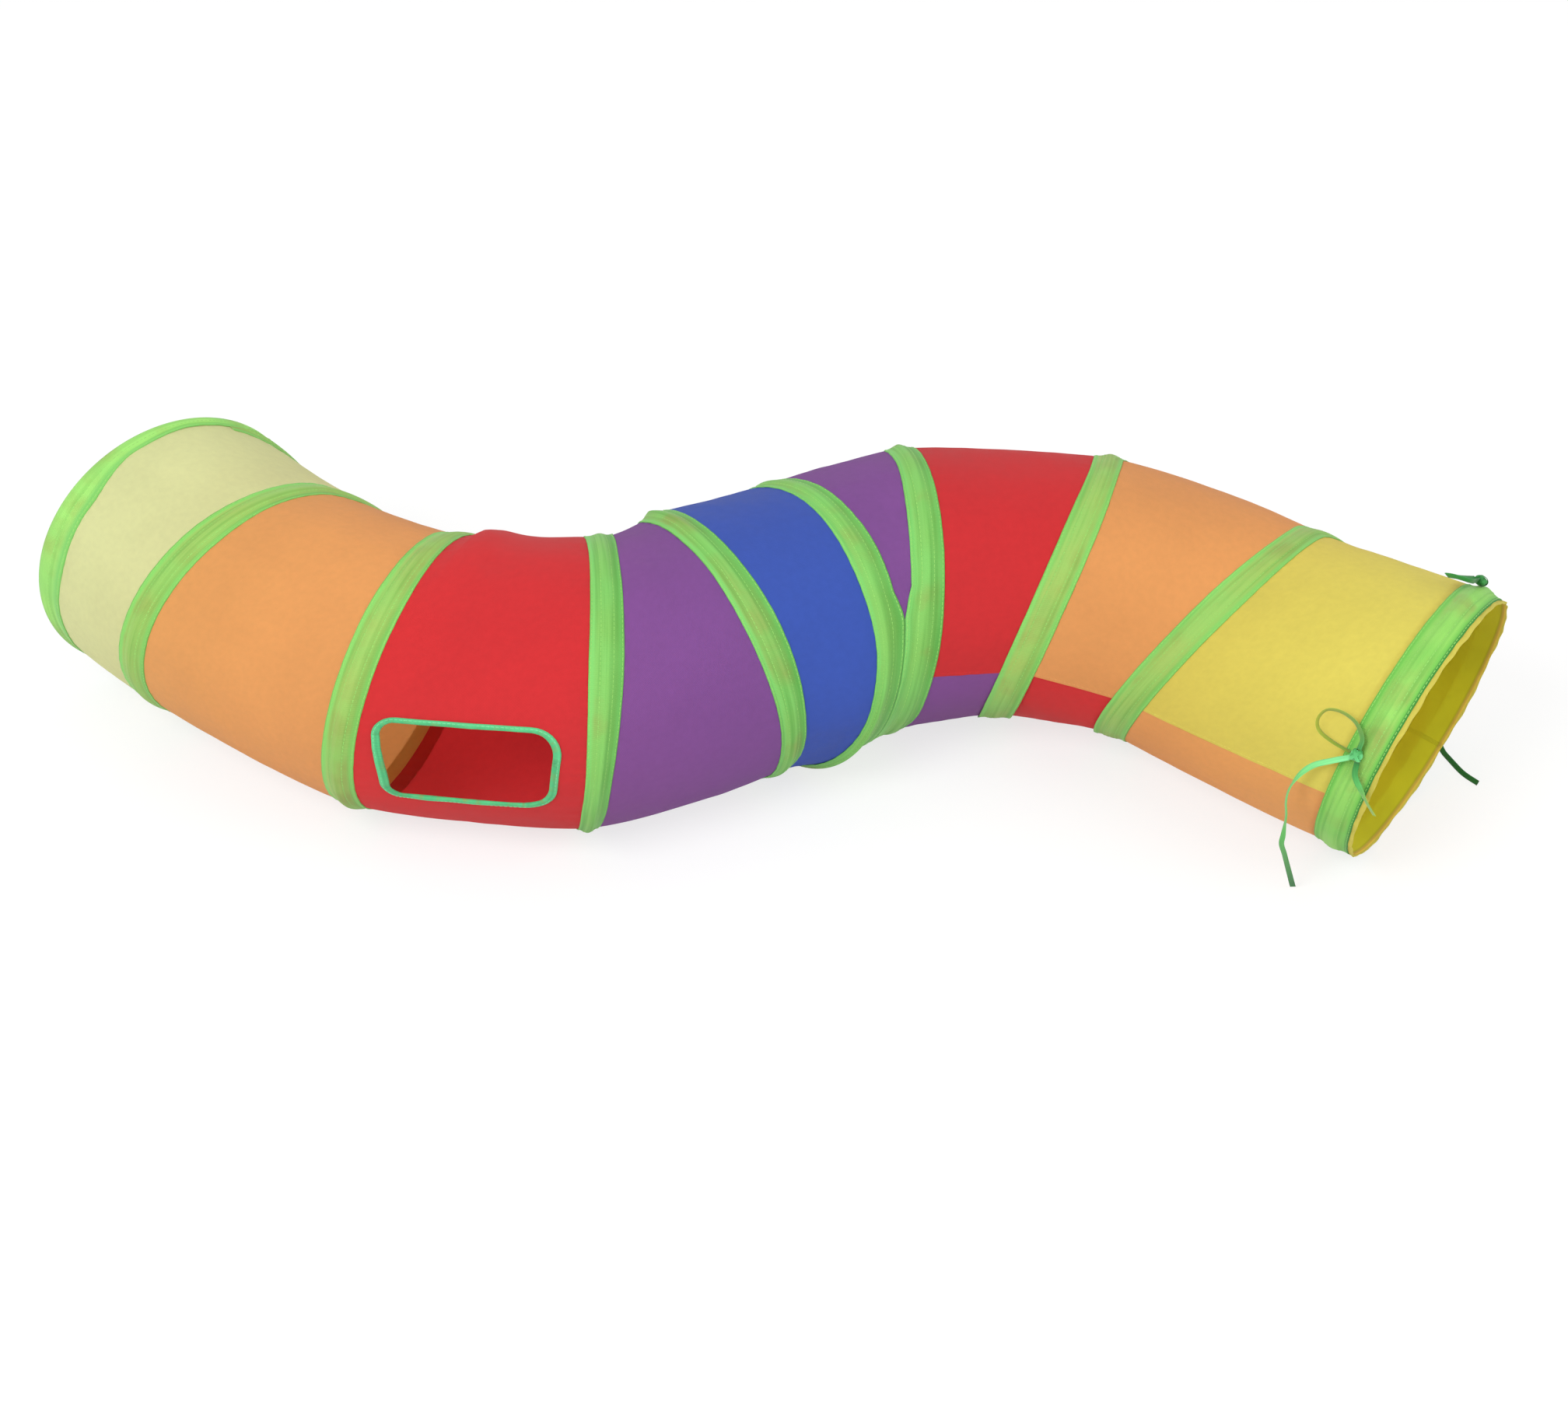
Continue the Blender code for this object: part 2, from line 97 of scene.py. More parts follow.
# The window's band and size, and its middle as an angle and as a share of the band
WINDOW_BAND = 3
WINDOW_WIDTH = 0.150
WINDOW_HEIGHT = 0.080
WINDOW_ANGLE = 1.5
WINDOW_SHARE = 0.485
BINDING_WIDTH = 0.0040
RIBBON_WIDTH = 0.005
RIBBON_THICKNESS = 0.0006
NEAR_KNOT = (0.4907, -0.2127, 0.1770)
NEAR_KNOT_OUT = (-0.455, -0.806, 0.378)
FAR_KNOT = (0.6079, -0.0603, 0.2381)
FAR_KNOT_OUT = (0.426, 0.340, 0.838)
NEAR_LOOP = (
    (0.4858, -0.2100, 0.1784),
    (0.4724, -0.1995, 0.1804),
    (0.4623, -0.1914, 0.1855),
    (0.4608, -0.1863, 0.1935),
    (0.4676, -0.1847, 0.2020),
    (0.4790, -0.1894, 0.2037),
    (0.4900, -0.1980, 0.1995),
    (0.4950, -0.2070, 0.1905),
    (0.4924, -0.2123, 0.1832),
)
NEAR_LONG_END = (
    (0.4858, -0.2121, 0.1744),
    (0.4725, -0.2070, 0.1660),
    (0.4588, -0.2020, 0.1565),
    (0.4485, -0.2010, 0.1450),
    (0.4415, -0.2025, 0.1310),
    (0.4398, -0.2040, 0.1180),
    (0.4412, -0.2050, 0.1030),
    (0.4408, -0.2055, 0.0830),
    (0.4406, -0.2035, 0.0700),
    (0.4450, -0.1992, 0.0540),
    (0.4492, -0.1948, 0.0380),
    (0.4534, -0.1903, 0.0220),
    (0.4568, -0.1865, 0.0090),
    (0.4586, -0.1845, 0.0024),
)
NEAR_SHORT_END = (
    (0.4915, -0.2162, 0.1723),
    (0.4905, -0.2198, 0.1610),
    (0.4955, -0.2262, 0.1512),
    (0.5010, -0.2310, 0.1410),
    (0.5080, -0.2345, 0.1300),
)
FAR_LOOP = (
    (0.6027, -0.0606, 0.2410),
    (0.5882, -0.0691, 0.2485),
    (0.5788, -0.0725, 0.2528),
    (0.5745, -0.0760, 0.2565),
    (0.5780, -0.0800, 0.2590),
    (0.5850, -0.0845, 0.2600),
    (0.5915, -0.0860, 0.2585),
    (0.5965, -0.0800, 0.2530),
    (0.6005, -0.0710, 0.2462),
    (0.6049, -0.0643, 0.2413),
)
FAR_END = (
    (0.6091, -0.0558, 0.2346),
    (0.6163, -0.0265, 0.2112),
    (0.6237, -0.0022, 0.1728),
    (0.6235, 0.0120, 0.1282),
    (0.6200, 0.0140, 0.0950),
    (0.6160, 0.0115, 0.0600),
    (0.6115, 0.0070, 0.0250),
    (0.6100, 0.0000, 0.0070),
    (0.6120, -0.0090, 0.0022),
    (0.6175, -0.0220, 0.0020),
    (0.6260, -0.0390, 0.0020),
    (0.6370, -0.0520, 0.0020),
)

# How the cloth stands between the hoops: out where it is taut, as a share of the span,
# and in where the tube bends inwards, by a further share for each section
BULGE_SHARE = 0.028
HIGHEST_BULGE = 0.0036
SLACK_SHARE = 0.045
DEEPEST_SLACK = 0.0045
SLACK_OF_SECTIONS = (0, 1, 1, 0, 0.5, 1, 0.3, 0.3, 0.5, 0, 0)
# Share of the usual span up to which the cloth is slack,
# and the further share over which it tautens
SLACK_SPAN = 0.76
TAUTENING = 0.20
# What is added to that in one place: section, angle, how far round, and how far out
HANGING = (
    (1, 125, 42, -0.0055),
    (2, 130, 40, 0.0018),
    (3, 130, 36, 0.0015),
    (4, 130, 36, -0.0015),
    (5, 130, 40, -0.0028),
    (6, 130, 40, -0.0013),
    (8, 130, 45, 0.0028),
    (9, 130, 40, -0.0018),
    (2, -50, 35, 0.0010),
    (3, -50, 25, 0.0015),
    (4, -50, 35, 0.0018),
    (7, -50, 40, 0.0020),
    (8, -50, 45, 0.0050),
)
# Small folds everywhere, puckers along the tape, and the gather at the top of the red band
FOLD_HEIGHT = 0.0006
PUCKER_HEIGHT = 0.0003
PUCKER_LENGTH = 0.013
PUCKER_REACH = 0.014
GATHER_RISE = 0.0056
GATHER_DIP = 0.0012
# How far the window's lower left corner is drawn in, the radius of its corners on the left and
# on the right, how much wider its binding is at the sides, how high it is, and its length
WINDOW_SAG = 0.013
WINDOW_CORNERS = (0.013, 0.023)
SIDE_BINDING = 1.4
BINDING_TOP = 0.0014
ROUND_WINDOW = 0.43
# The tape's wings over the cloth, its ridge over the wire, and the waves of its edges
TAPE_LIFT = 0.0007
RIDGE_HEIGHT = 0.0032
RIDGE_WIDTH = 0.0075
WING_WAVE_HEIGHT = 0.00016
WING_WAVE_LENGTH = 0.0145
# Radius of the roll at the left mouth, and how wavy and uneven the lips of the mouths are
MOUTH_ROLL = 0.0065
LIP_WAVE = 0.0010
LIP_UNEVEN = 0.0009
# How far the lining reaches in past the tape, and how much further behind
LINING_DEPTH = 0.019
DEEPER_LINING = 0.029

# Where the tape is cut along the mouth's tape: the gap there, the room for its ridge,
# and how far that is round the tube from the ends of the climb
CUT_GAP = 0.0003
RIDGE_ROOM = 0.0035
CUT_TURN = 12
MEETING_SPAN = TAPE_WIDTH / 2 + CUT_GAP + RIDGE_ROOM

# Share of its half width that the tape keeps round the tube, as pairs of an angle and a share;
# how uneven it is; and how narrow it gets and how far it keeps away beside the mouth's tape
UNEVEN_WIDTH = 0.010
NARROWEST_WING = 0.1
TAPES_APART = 0.05
LAST_MOUTH_WING = 0.96
BEHIND_TAPER = ((105, 0.80), (150, 0.84), (228, 0.75))
TAPE_TAPER = ((-132, 0.75), (-70, 0.88), (-20, 0.93), (60, 0.93), *BEHIND_TAPER)
MOUTH_WING = (
    (-132, 1.0),
    (-40, 0.95),
    (-10, 1.5),
    (20, 1.75),
    (48, 1.55),
    (78, 0.7),
    (105, 0.42),
    (130, 0.45),
    (180, 1.0),
    (228, 1.0),
)
LINES_4_AND_5 = ((-132, 0.55), (-50, 0.55), (-15, 0.68), (45, 0.93), *BEHIND_TAPER)
LINE_6_LEFT = ((-132, 0.45), (-30, 0.45), (15, 0.55), (60, 0.90), *BEHIND_TAPER)
LINE_7_RIGHT = ((-132, 0.35), (-50, 0.40), (-20, 0.80), (20, 0.93), *BEHIND_TAPER)
# The angle at which the tapes over lines 6 and 7, which meet below it, part
TAPES_PART = 42
# Lines whose tape is the brighter one
LIGHT_LINES = (1, 2, 3, 8, 9)

# How finely it is divided
FINE_STEP = 2
FINE_WIDTH = 0.0045
STITCH_LENGTH = 0.0028
STITCH_PITCH = 0.0040
STITCH_WIDTH = 0.0006
STITCH_HEIGHT = 0.0004
STITCH_ROWS = (-0.0148, -0.0062, 0.0062, 0.0148)
# How far past a seam its stitches are, in degrees
PAST_SEAM = 1.4
# Corners of a stitch, as shares of its half length, its half width and its height
STITCH_CORNERS = ((-1, -1, 0), (1, -1, 0), (1, 1, 0), (-1, 1, 0), (-0.55, 0, 1), (0.55, 0, 1))

# Pitch of the cloth's threads and of the tape's ribs, and how far they stand out
WEAVE_PITCH = 0.0009
RIB_PITCH = 0.0011
THREAD_RELIEF = 0.00025
KNOT_SIZE = (0.0062, 0.0054, 0.0042)

# The floor: how far it reaches, how light it is for the object and for the camera, and the
# share of it that glows for the camera; and how bright the sky is for the object
FLOOR_REACH = 9.0
FLOOR_UNSEEN = 0.75
FLOOR_SEEN = 0.93
FLOOR_GLOW = 0.72
SKY_UNSEEN = 0.82
LEAST_HEIGHT = 0.0002

BAND_COLOURS = (
    "pale_yellow",
    "orange",
    "red",
    "purple",
    "blue",
    "purple",
    "red",
    "orange",
    "yellow",
)


# Materials


def srgb(red, green, blue):
    """Colour given from 0 to 255 as it shows, as Blender's linear colour."""
    linear = []
    for value in (red, green, blue):
        share = value / 255
        linear.append(share / 12.92 if share <= 0.04045 else ((share + 0.055) / 1.055) ** 2.4)
    return (*linear, 1)


CLOTH_COLOURS = {
    "pale_yellow": (229, 233, 172),
    "orange": (243, 174, 104),
    "red": (228, 54, 58),
    "purple": (146, 91, 168),
    "blue": (69, 102, 202),
    "yellow": (232, 221, 102),
}
OLIVE_PATCH = srgb(158, 168, 86)


def add(tree, kind, settings=None, **inputs):
    """Shader node. An input may be a value or another node's output."""
    made = tree.nodes.new("ShaderNode" + kind)
    for key, value in (settings or {}).items():
        setattr(made, key, value)
    for key, value in inputs.items():
        plug(tree, made.inputs[key.replace("_", " ")], value)
    return made


def plug(tree, socket, value):
    if isinstance(value, bpy.types.NodeSocket):
        tree.links.new(value, socket)
    else:
        socket.default_value = value


def maths(tree, operation, first, second=0.0):
    made = add(tree, "Math", {"operation": operation})
    plug(tree, made.inputs[0], first)
    plug(tree, made.inputs[1], second)
    return made.outputs[0]


def remap(tree, value, low, high, to_low, to_high):
    """The value moved from one range to another, and kept inside it."""
    made = add(tree, "MapRange", {"clamp": True})
    for socket, number in zip(made.inputs, (value, low, high, to_low, to_high)):
        plug(tree, socket, number)
    return made.outputs[0]


def mixed(tree, share, first, second, how="MIX"):
    made = add(tree, "Mix", {"data_type": "RGBA", "blend_type": how})
    plug(tree, made.inputs[0], share)
    plug(tree, made.inputs[6], first)
    plug(tree, made.inputs[7], second)
    return made.outputs[2]


def times(tree, first, second):
    return maths(tree, "MULTIPLY", first, second)


def noise(tree, place, scale, detail, settings=None, **inputs):
    made = add(tree, "TexNoise", settings, Vector=place, Scale=scale, Detail=detail, **inputs)
    return made.outputs[0]


def darkened(tree, colour, shade):
    """The colour times a shade that is a number."""
    tone = add(tree, "CombineColor")
    for socket in tone.inputs:
        plug(tree, socket, shade)
    return mixed(tree, 1.0, colour, tone.outputs[0], "MULTIPLY")


def new_material(name):
    """Material without nodes, and its node tree."""
    made = bpy.data.materials.new(name)
    made.use_nodes = True
    made.node_tree.nodes.clear()
    return made, made.node_tree


def along_cloth(tree):
    """The place on the cloth in metres: across the tape or along the tube, and round the tube."""
    place = add(tree, "UVMap", {"uv_map": "cloth"}).outputs[0]
    parts = add(tree, "SeparateXYZ", Vector=place).outputs
    return place, parts[0], parts[1]


def threads(tree, place, direction, pitch):
    """Rounded ridges of one set of threads, from 0 to 1."""
    wave = add(tree, "TexWave", {"bands_direction": direction}, Vector=place, Scale=0.314 / pitch)
    return wave.outputs["Fac"]


def plain_weave(tree, place, pitch):
    """Height of a plain weave, from -1 to 1."""
    warp = maths(tree, "SUBTRACT", threads(tree, place, "X", pitch), 0.5)
    weft = maths(tree, "SUBTRACT", threads(tree, place, "Y", pitch), 0.5)
    return times(tree, times(tree, warp, weft), 4.0)


def finish_cloth(tree, colour, height, depth, roughness, through, sheen):
    """Woven surface that lets some light through from behind."""
    bump = add(tree, "Bump", Strength=0.6, Distance=depth, Height=height).outputs[0]
    shader = add(
        tree,
        "BsdfPrincipled",
        Base_Color=colour,
        Roughness=roughness,
        Normal=bump,
        Specular_IOR_Level=0.2,
        Sheen_Weight=sheen,
        Sheen_Roughness=0.45,
    )
    behind = add(tree, "BsdfTranslucent", Color=colour, Normal=bump)
    mix = add(tree, "MixShader")
    mix.inputs[0].default_value = through
    tree.links.new(shader.outputs[0], mix.inputs[1])
    tree.links.new(behind.outputs[0], mix.inputs[2])
    add(tree, "OutputMaterial", Surface=mix.outputs[0])


def cloth_material(name, colour):
    """Thin polyester: fine plain weave, soft mottling and a little sheen."""
    made, tree = new_material(name)
    place, _, _ = along_cloth(tree)
    weave = plain_weave(tree, place, WEAVE_PITCH)
    soft = noise(tree, place, 9.0, 3.0, Roughness=0.55)
    slub = noise(tree, place, 160.0, 2.0)
    shade = remap(tree, soft, 0.3, 0.7, 0.93, 1.03)
    shade = times(tree, shade, remap(tree, slub, 0.3, 0.7, 0.975, 1.02))
    shade = times(tree, shade, remap(tree, weave, -1.0, 1.0, 0.965, 1.02))
    rough = remap(tree, soft, 0.3, 0.7, 0.52, 0.68)
    shown = darkened(tree, srgb(*colour), shade)
    finish_cloth(tree, shown, weave, THREAD_RELIEF, rough, 0.38, 0.06)
    return made


def lining_material(name, painted_tape_shadow, plain):
    """Hem seen from inside the mouth: the tape's shadow through it is painted as a darker stripe.
    """
    made, tree = new_material(name)
    place, across, _ = along_cloth(tree)
    weave = plain_weave(tree, place, WEAVE_PITCH)
    off = maths(tree, "ABSOLUTE", across)
    edge = TAPE_WIDTH / 2
    # Painted shadow of the tape seen through the cloth: a darker stripe over the tape's width
    inside = remap(tree, off, edge - 0.0010, edge + 0.0002, 0.0, 1.0)
    shown = mixed(tree, inside, srgb(*painted_tape_shadow), srgb(*plain))
    # Darker along the tape's edges
    near_tape_edge = maths(tree, "ABSOLUTE", maths(tree, "SUBTRACT", off, edge))
    soft = remap(tree, noise(tree, place, 14.0, 3.0), 0.3, 0.7, 0.88, 1.04)
    shade = times(tree, remap(tree, near_tape_edge, 0.0006, 0.0022, 0.74, 1.0), soft)
    finish_cloth(tree, darkened(tree, shown, shade), weave, THREAD_RELIEF, 0.6, 0.25, 0.05)
    return made


def tape_material(
    name,
    edge,
    middle,
    dark,
    half_width=TAPE_WIDTH / 2,
    rim=0.0046,
    turned=None,
    edge_shade_width=0.0036,
    side=1,
    painted_shade=0.0,
    spots=16.0,
):
    """Ribbed tape: bright rims, a wide duller middle over the wire, and streaks along it.

    turned is the colour of painted shade on the edge on one side, where that is turned down
    round a mouth, shaded is how much painted shade darkens its far half, away from the light,
    and spots is the scale of its worn patches.
    """
    made, tree = new_material(name)
    edge, middle, dark = (srgb(*colour) for colour in (edge, middle, dark))
    place, across, _ = along_cloth(tree)
    off = maths(tree, "ABSOLUTE", across)
    ribs = threads(tree, place, "Y", RIB_PITCH)
    stretched = add(tree, "Mapping", Vector=place, Scale=(200.0, 7.0, 1.0)).outputs[0]
    streaks = noise(tree, stretched, 1.0, 3.0)
    patches = noise(tree, place, spots, 2.0)
    worn = noise(tree, place, spots * 1.3, 3.0, {"noise_dimensions": "4D"}, W=3.0)
    inner = half_width - rim
    duller = remap(tree, off, inner - 0.0022, inner + 0.0012, 1.0, 0.0)
    duller = times(tree, duller, remap(tree, patches, 0.35, 0.62, 0.45, 1.0))
    shown = mixed(tree, duller, edge, middle)
    olive = times(tree, remap(tree, worn, 0.50, 0.66, 0.0, 0.75), duller)
    shown = mixed(tree, olive, shown, OLIVE_PATCH)
    shown = mixed(tree, remap(tree, streaks, 0.46, 0.74, 0.0, 0.55), shown, dark)
    # Painted shade: the far half of the tape is darkened, as if the ridge over the wire kept the
    # light off it
    if painted_shade:
        painted_far_shade = remap(tree, across, 0.0005, half_width * 0.55, 0.0, painted_shade)
        uneven = remap(tree, patches, 0.3, 0.6, 0.6, 1.0)
        shown = mixed(tree, times(tree, painted_far_shade, uneven), shown, dark)
    selvedge = remap(tree, off, half_width - 0.0009, half_width - 0.0001, 0.0, 0.25)
    shown = mixed(tree, selvedge, shown, dark)
    # Painted shade on the edge of one side, where it turns down round a mouth
    if turned:
        start = half_width - edge_shade_width
        painted_edge_shade = remap(tree, times(tree, across, side), start, start + 0.0016, 0.0, 1.0)
        shown = mixed(tree, painted_edge_shade, shown, srgb(*turned))
    shown = mixed(tree, remap(tree, ribs, 0.0, 1.0, 0.1, 0.0), shown, dark)
    rough = remap(tree, streaks, 0.3, 0.7, 0.48, 0.66)
    finish_cloth(tree, shown, ribs, THREAD_RELIEF, rough, 0.22, 0.1)
    return made


def ribbon_material(name, start, middle, end):
    """Narrow satin ribbon, with painted shade that makes it darker towards its end. Its second
    coordinate runs from 0 to 1.
    """
    made, tree = new_material(name)
    place, across, down = along_cloth(tree)
    # Painted light and shade along the ribbon, from its start through its middle to its end
    painted_shading = add(tree, "ValToRGB", Fac=down)
    stops = painted_shading.color_ramp.elements
    stops[0].color = srgb(*start)
    stops[1].color = srgb(*end)
    stops.new(0.42).color = srgb(*middle)
    stretched = add(tree, "Mapping", Vector=place, Scale=(900.0, 6.0, 1.0)).outputs[0]
    streaks = noise(tree, stretched, 1.0, 2.0)
    value = remap(tree, streaks, 0.3, 0.7, 0.85, 1.1)
    shade = add(tree, "HueSaturation", Color=painted_shading.outputs[0], Value=value)
    half = RIBBON_WIDTH / 2
    edge = remap(tree, maths(tree, "ABSOLUTE", across), half - 0.0007, half - 0.0002, 0.0, 1.0)
    rough = remap(tree, streaks, 0.3, 0.7, 0.38, 0.55)
    height = maths(tree, "ADD", streaks, edge)
    finish_cloth(tree, shade.outputs[0], height, 0.0002, rough, 0.15, 0.2)
    return made


def thread_material(name, colour):
    """Sewing thread: twisted strands."""
    made, tree = new_material(name)
    place = add(tree, "TexCoord").outputs["Object"]
    strands = noise(tree, place, 900.0, 2.0)
    value = remap(tree, strands, 0.3, 0.7, 0.8, 1.1)
    shade = add(tree, "HueSaturation", Color=srgb(*colour), Value=value)
    rough = remap(tree, strands, 0.3, 0.7, 0.5, 0.7)
    finish_cloth(tree, shade.outputs[0], strands, 0.0001, rough, 0.05, 0.2)
    return made


def steel_material(name):
    """Drawn spring steel with fine lengthwise marks and a few duller spots."""
    made, tree = new_material(name)
    place = add(tree, "TexCoord").outputs["Object"]
    marks = noise(tree, place, 700.0, 3.0)
    spots = noise(tree, place, 60.0, 3.0)
    dull = remap(tree, spots, 0.4, 0.7, 0.0, 0.7)
    colour = mixed(tree, dull, srgb(196, 198, 202), srgb(140, 138, 136))
    bump = add(tree, "Bump", Strength=0.3, Distance=0.0001, Height=marks).outputs[0]
    rough = remap(tree, spots, 0.3, 0.7, 0.26, 0.5)
    shader = add(
        tree, "BsdfPrincipled", Base_Color=colour, Normal=bump, Metallic=1.0, Roughness=rough
    )
    add(tree, "OutputMaterial", Surface=shader.outputs[0])
    return made


CLOTH = {name: cloth_material(f"cloth_{name}", colour) for name, colour in CLOTH_COLOURS.items()}
# All of these are one green tape: their darker far halves and darker turned edges are painted shade
TAPES = {
    "middle": tape_material(
        "tape", (134, 216, 112), (138, 204, 100), (84, 160, 64), painted_shade=0.55
    ),
    "light": tape_material(
        "tape_light", (140, 216, 108), (168, 202, 102), (104, 168, 70), painted_shade=0.2
    ),
    "first": tape_material(
        "tape_first",
        (138, 212, 112),
        (172, 234, 122),
        (104, 178, 74),
        turned=(118, 188, 78),
        edge_shade_width=0.0120,
        side=-1,
    ),
    "last": tape_material(
        "tape_last",
        (124, 204, 88),
        (162, 226, 110),
        (92, 170, 70),
        rim=0.0050,
        turned=(66, 146, 62),
    ),
}
BINDING = tape_material(
    "binding",
    (108, 220, 150),
    (86, 196, 130),
    (50, 140, 92),
    BINDING_WIDTH,
    rim=0.0010,
    spots=90.0,
)
# Its first colour is the painted shadow of the tape seen through the cloth
LINING = lining_material("lining", (226, 228, 46), (252, 224, 98))
SEAM_THREADS = {
    name: thread_material(f"thread_{name}", colour) for name, colour in CLOTH_COLOURS.items()
}
THREAD = thread_material("thread_green", (150, 212, 108))
THREAD_MINT = thread_material("thread_mint", (128, 224, 164))
STEEL = steel_material("spring_steel")
# The ties are one green satin ribbon: the colours along each ribbon are painted light and shade,
# and the far tie's darker ribbon is painted shade behind the mouth
RIBBON = ribbon_material("ribbon", (142, 236, 160), (112, 204, 104), (52, 118, 62))
LOOP_RIBBON = ribbon_material("ribbon_loop", (112, 150, 46), (176, 184, 66), (70, 158, 84))
SHORT_RIBBON = ribbon_material("ribbon_short", (52, 136, 62), (92, 184, 96), (160, 190, 92))
PAINTED_SHADE_RIBBON = ribbon_material("ribbon_painted_shade", (40, 122, 52), (62, 150, 72), (46, 116, 58))
KNOT_RIBBON = ribbon_material("ribbon_knot", (56, 146, 66), (116, 220, 140), (38, 112, 52))


# Camera


def make_camera():
    data = bpy.data.cameras.new("camera")
    data.sensor_fit = "HORIZONTAL"
    data.sensor_width = SENSOR
    data.lens = FOCAL_PIXELS / IMAGE_WIDTH * SENSOR
    data.clip_start = 0.05
    data.clip_end = 60
    made = bpy.data.objects.new("camera", data)
    bpy.context.scene.collection.objects.link(made)
    made.location = CAMERA_PLACE
    made.rotation_euler = (radians(90 - CAMERA_TILT), 0, 0)
    bpy.context.scene.camera = made


make_camera()


# Building meshes


def new_piece(name, points, faces, places, material, slot):
    """Mesh piece. places holds one pair of cloth coordinates for each point."""
    mesh = bpy.data.meshes.new(name)
    mesh.from_pydata(np.reshape(points, (-1, 3)).tolist(), [], faces)
    mesh.validate()
    layer = mesh.uv_layers.new(name="cloth")
    corners = np.empty(len(mesh.loops), int)
    mesh.loops.foreach_get("vertex_index", corners)
    layer.data.foreach_set("uv", np.reshape(places, (-1, 2))[corners].ravel())
    mesh.materials.append(material)
    mesh.shade_smooth()
    made = bpy.data.objects.new(name, mesh)
    bpy.context.scene.collection.objects.link(made)
    return made


def grid_faces(rows, columns, closed=False, across_closed=False):
    """Quads of a grid of points laid out row by row."""
    faces = []
    for i in range(rows if closed else rows - 1):
        below = (i + 1) % rows
        for j in range(columns if across_closed else columns - 1):
            right = (j + 1) % columns
            corners = ((i, j), (i, right), (below, right), (below, j))
            faces.append(tuple(row * columns + column for row, column in corners))
    return faces


def closed_tube(rows, columns):
    """Faces of a tube laid out row by row, with a face at each end."""
    last = rows * columns - 1
    ends = [tuple(range(columns)), tuple(range(last, last - columns, -1))]
    return grid_faces(rows, columns, across_closed=True) + ends


# Where the hoops stand, as in the part's source


def placed_hoops():
    """Centre, side and up of each hoop, with the whole part centred over the origin."""
    height = RIDGE_TOP * cos(radians(STEP / 2)) - FOOT_PRESS
    x = y = 0.0
    hoops = []
    for span, bearing, heading, lean in LAYOUT:
        x += span * cos(radians(bearing))
        y += span * sin(radians(bearing))
        along = np.array((cos(radians(heading)), sin(radians(heading)), 0))
        side = np.array((along[1], -along[0], 0))
        up = np.array((0, 0, cos(radians(lean)))) + along * sin(radians(lean))
        hoops.append((np.array((x, y, height * cos(radians(lean)))), side, up))
    hem = (TUBE_RADIUS, TAPE_WIDTH / 2 + HEM_LIP)
    edges = ((RIDGE_TOP, CHANNEL_HALF), (TAPE_OUT, TAPE_WIDTH / 2))
    reach = []
    for number, (centre, side, up) in enumerate(hoops):
        axis = np.cross(up, side)
        for turn in np.radians(np.arange(0, 361, STEP)):
            ray = side * cos(turn) + up * sin(turn)
            for out, beyond in (*edges, hem) if number in (0, LAST) else edges:
                reach += [centre + ray * out + axis * beyond, centre + ray * out - axis * beyond]
    shift = (np.min(reach, 0) + np.max(reach, 0)) / 2
    shift[2] = 0
    return [(centre - shift, side, up) for centre, side, up in hoops]


HOOPS = placed_hoops()
CENTRES = [hoop[0] for hoop in HOOPS]
AXES = [np.cross(hoop[2], hoop[1]) for hoop in HOOPS]


def ramp(angle):
    """Share of the climb to the next hoop that is done at an angle."""
    share = np.clip((angle - RAMP_START) / (RAMP_END - RAMP_START), 0, 1)
    return share * share * (3 - 2 * share)


def hoop_frame(index, angle):
    """Centre and ray of one hoop, so that centre + ray * radius is the point at that angle."""
    centre, side, up = HOOPS[index]
    turn = np.radians(angle)[..., None]
    return np.broadcast_to(centre, turn.shape[:-1] + (3,)), side * np.cos(turn) + up * np.sin(turn)


def line_frame(line, angle):
    """The same for one wire line: 0 is the first ring, 1 to 9 the turns, 10 the last ring."""
    if line == 0:
        return hoop_frame(0, angle)
    if line == LAST + 1:
        return hoop_frame(LAST, angle)
    share = ramp(angle)[..., None]
    low, high = hoop_frame(line - 1, angle), hoop_frame(line, angle)
    return low[0] + (high[0] - low[0]) * share, low[1] + (high[1] - low[1]) * share


def span_between(low, high, angle):
    """Distance between two wire lines."""
    first, second = line_frame(low, angle), line_frame(high, angle)
    gap = second[0] - first[0] + (second[1] - first[1]) * TUBE_RADIUS
    return np.linalg.norm(gap, axis=-1)


# Distance between the two hoops of each section; those past the mouths count as their neighbours
APART = [float(np.linalg.norm(high - low)) for low, high in zip(CENTRES, CENTRES[1:])]
MEAN_SPANS = [APART[0], *APART, APART[-1]]


def bulge(band, angle, span, share):
    """How far the cloth stands out between two wire lines, or in where the tube bends inwards.

    It is taut where the span is nearly as long as the section's usual one, and at both mouths.
    """
    section = band + ramp(angle)
    calm = np.clip(section - LAST + 1, 0, 1)
    held = np.maximum(calm, np.clip(1 - section, 0, 1))
    usual = np.interp(section, np.arange(LAST + 2), MEAN_SPANS)
    taut = np.maximum(np.clip((span / usual - SLACK_SPAN) / TAUTENING, 0, 1), held)
    out = np.minimum(span * BULGE_SHARE, HIGHEST_BULGE) * (1 - 0.4 * calm)
    loose = np.interp(section, np.arange(LAST + 2), SLACK_OF_SECTIONS)
    slack = -np.minimum(span * SLACK_SHARE, DEEPEST_SLACK) * loose
    off = np.abs(2 * share - 1)
    hung = out * taut * (1 - off**3) + slack * (1 - off**2.5) * (1 - taut)
    for number, middle, width, height in HANGING:
        added = height * hump(section, number, 0.5) * hump(angle, middle, width)
        hung = hung + added * (1 - off**2)
    return hung


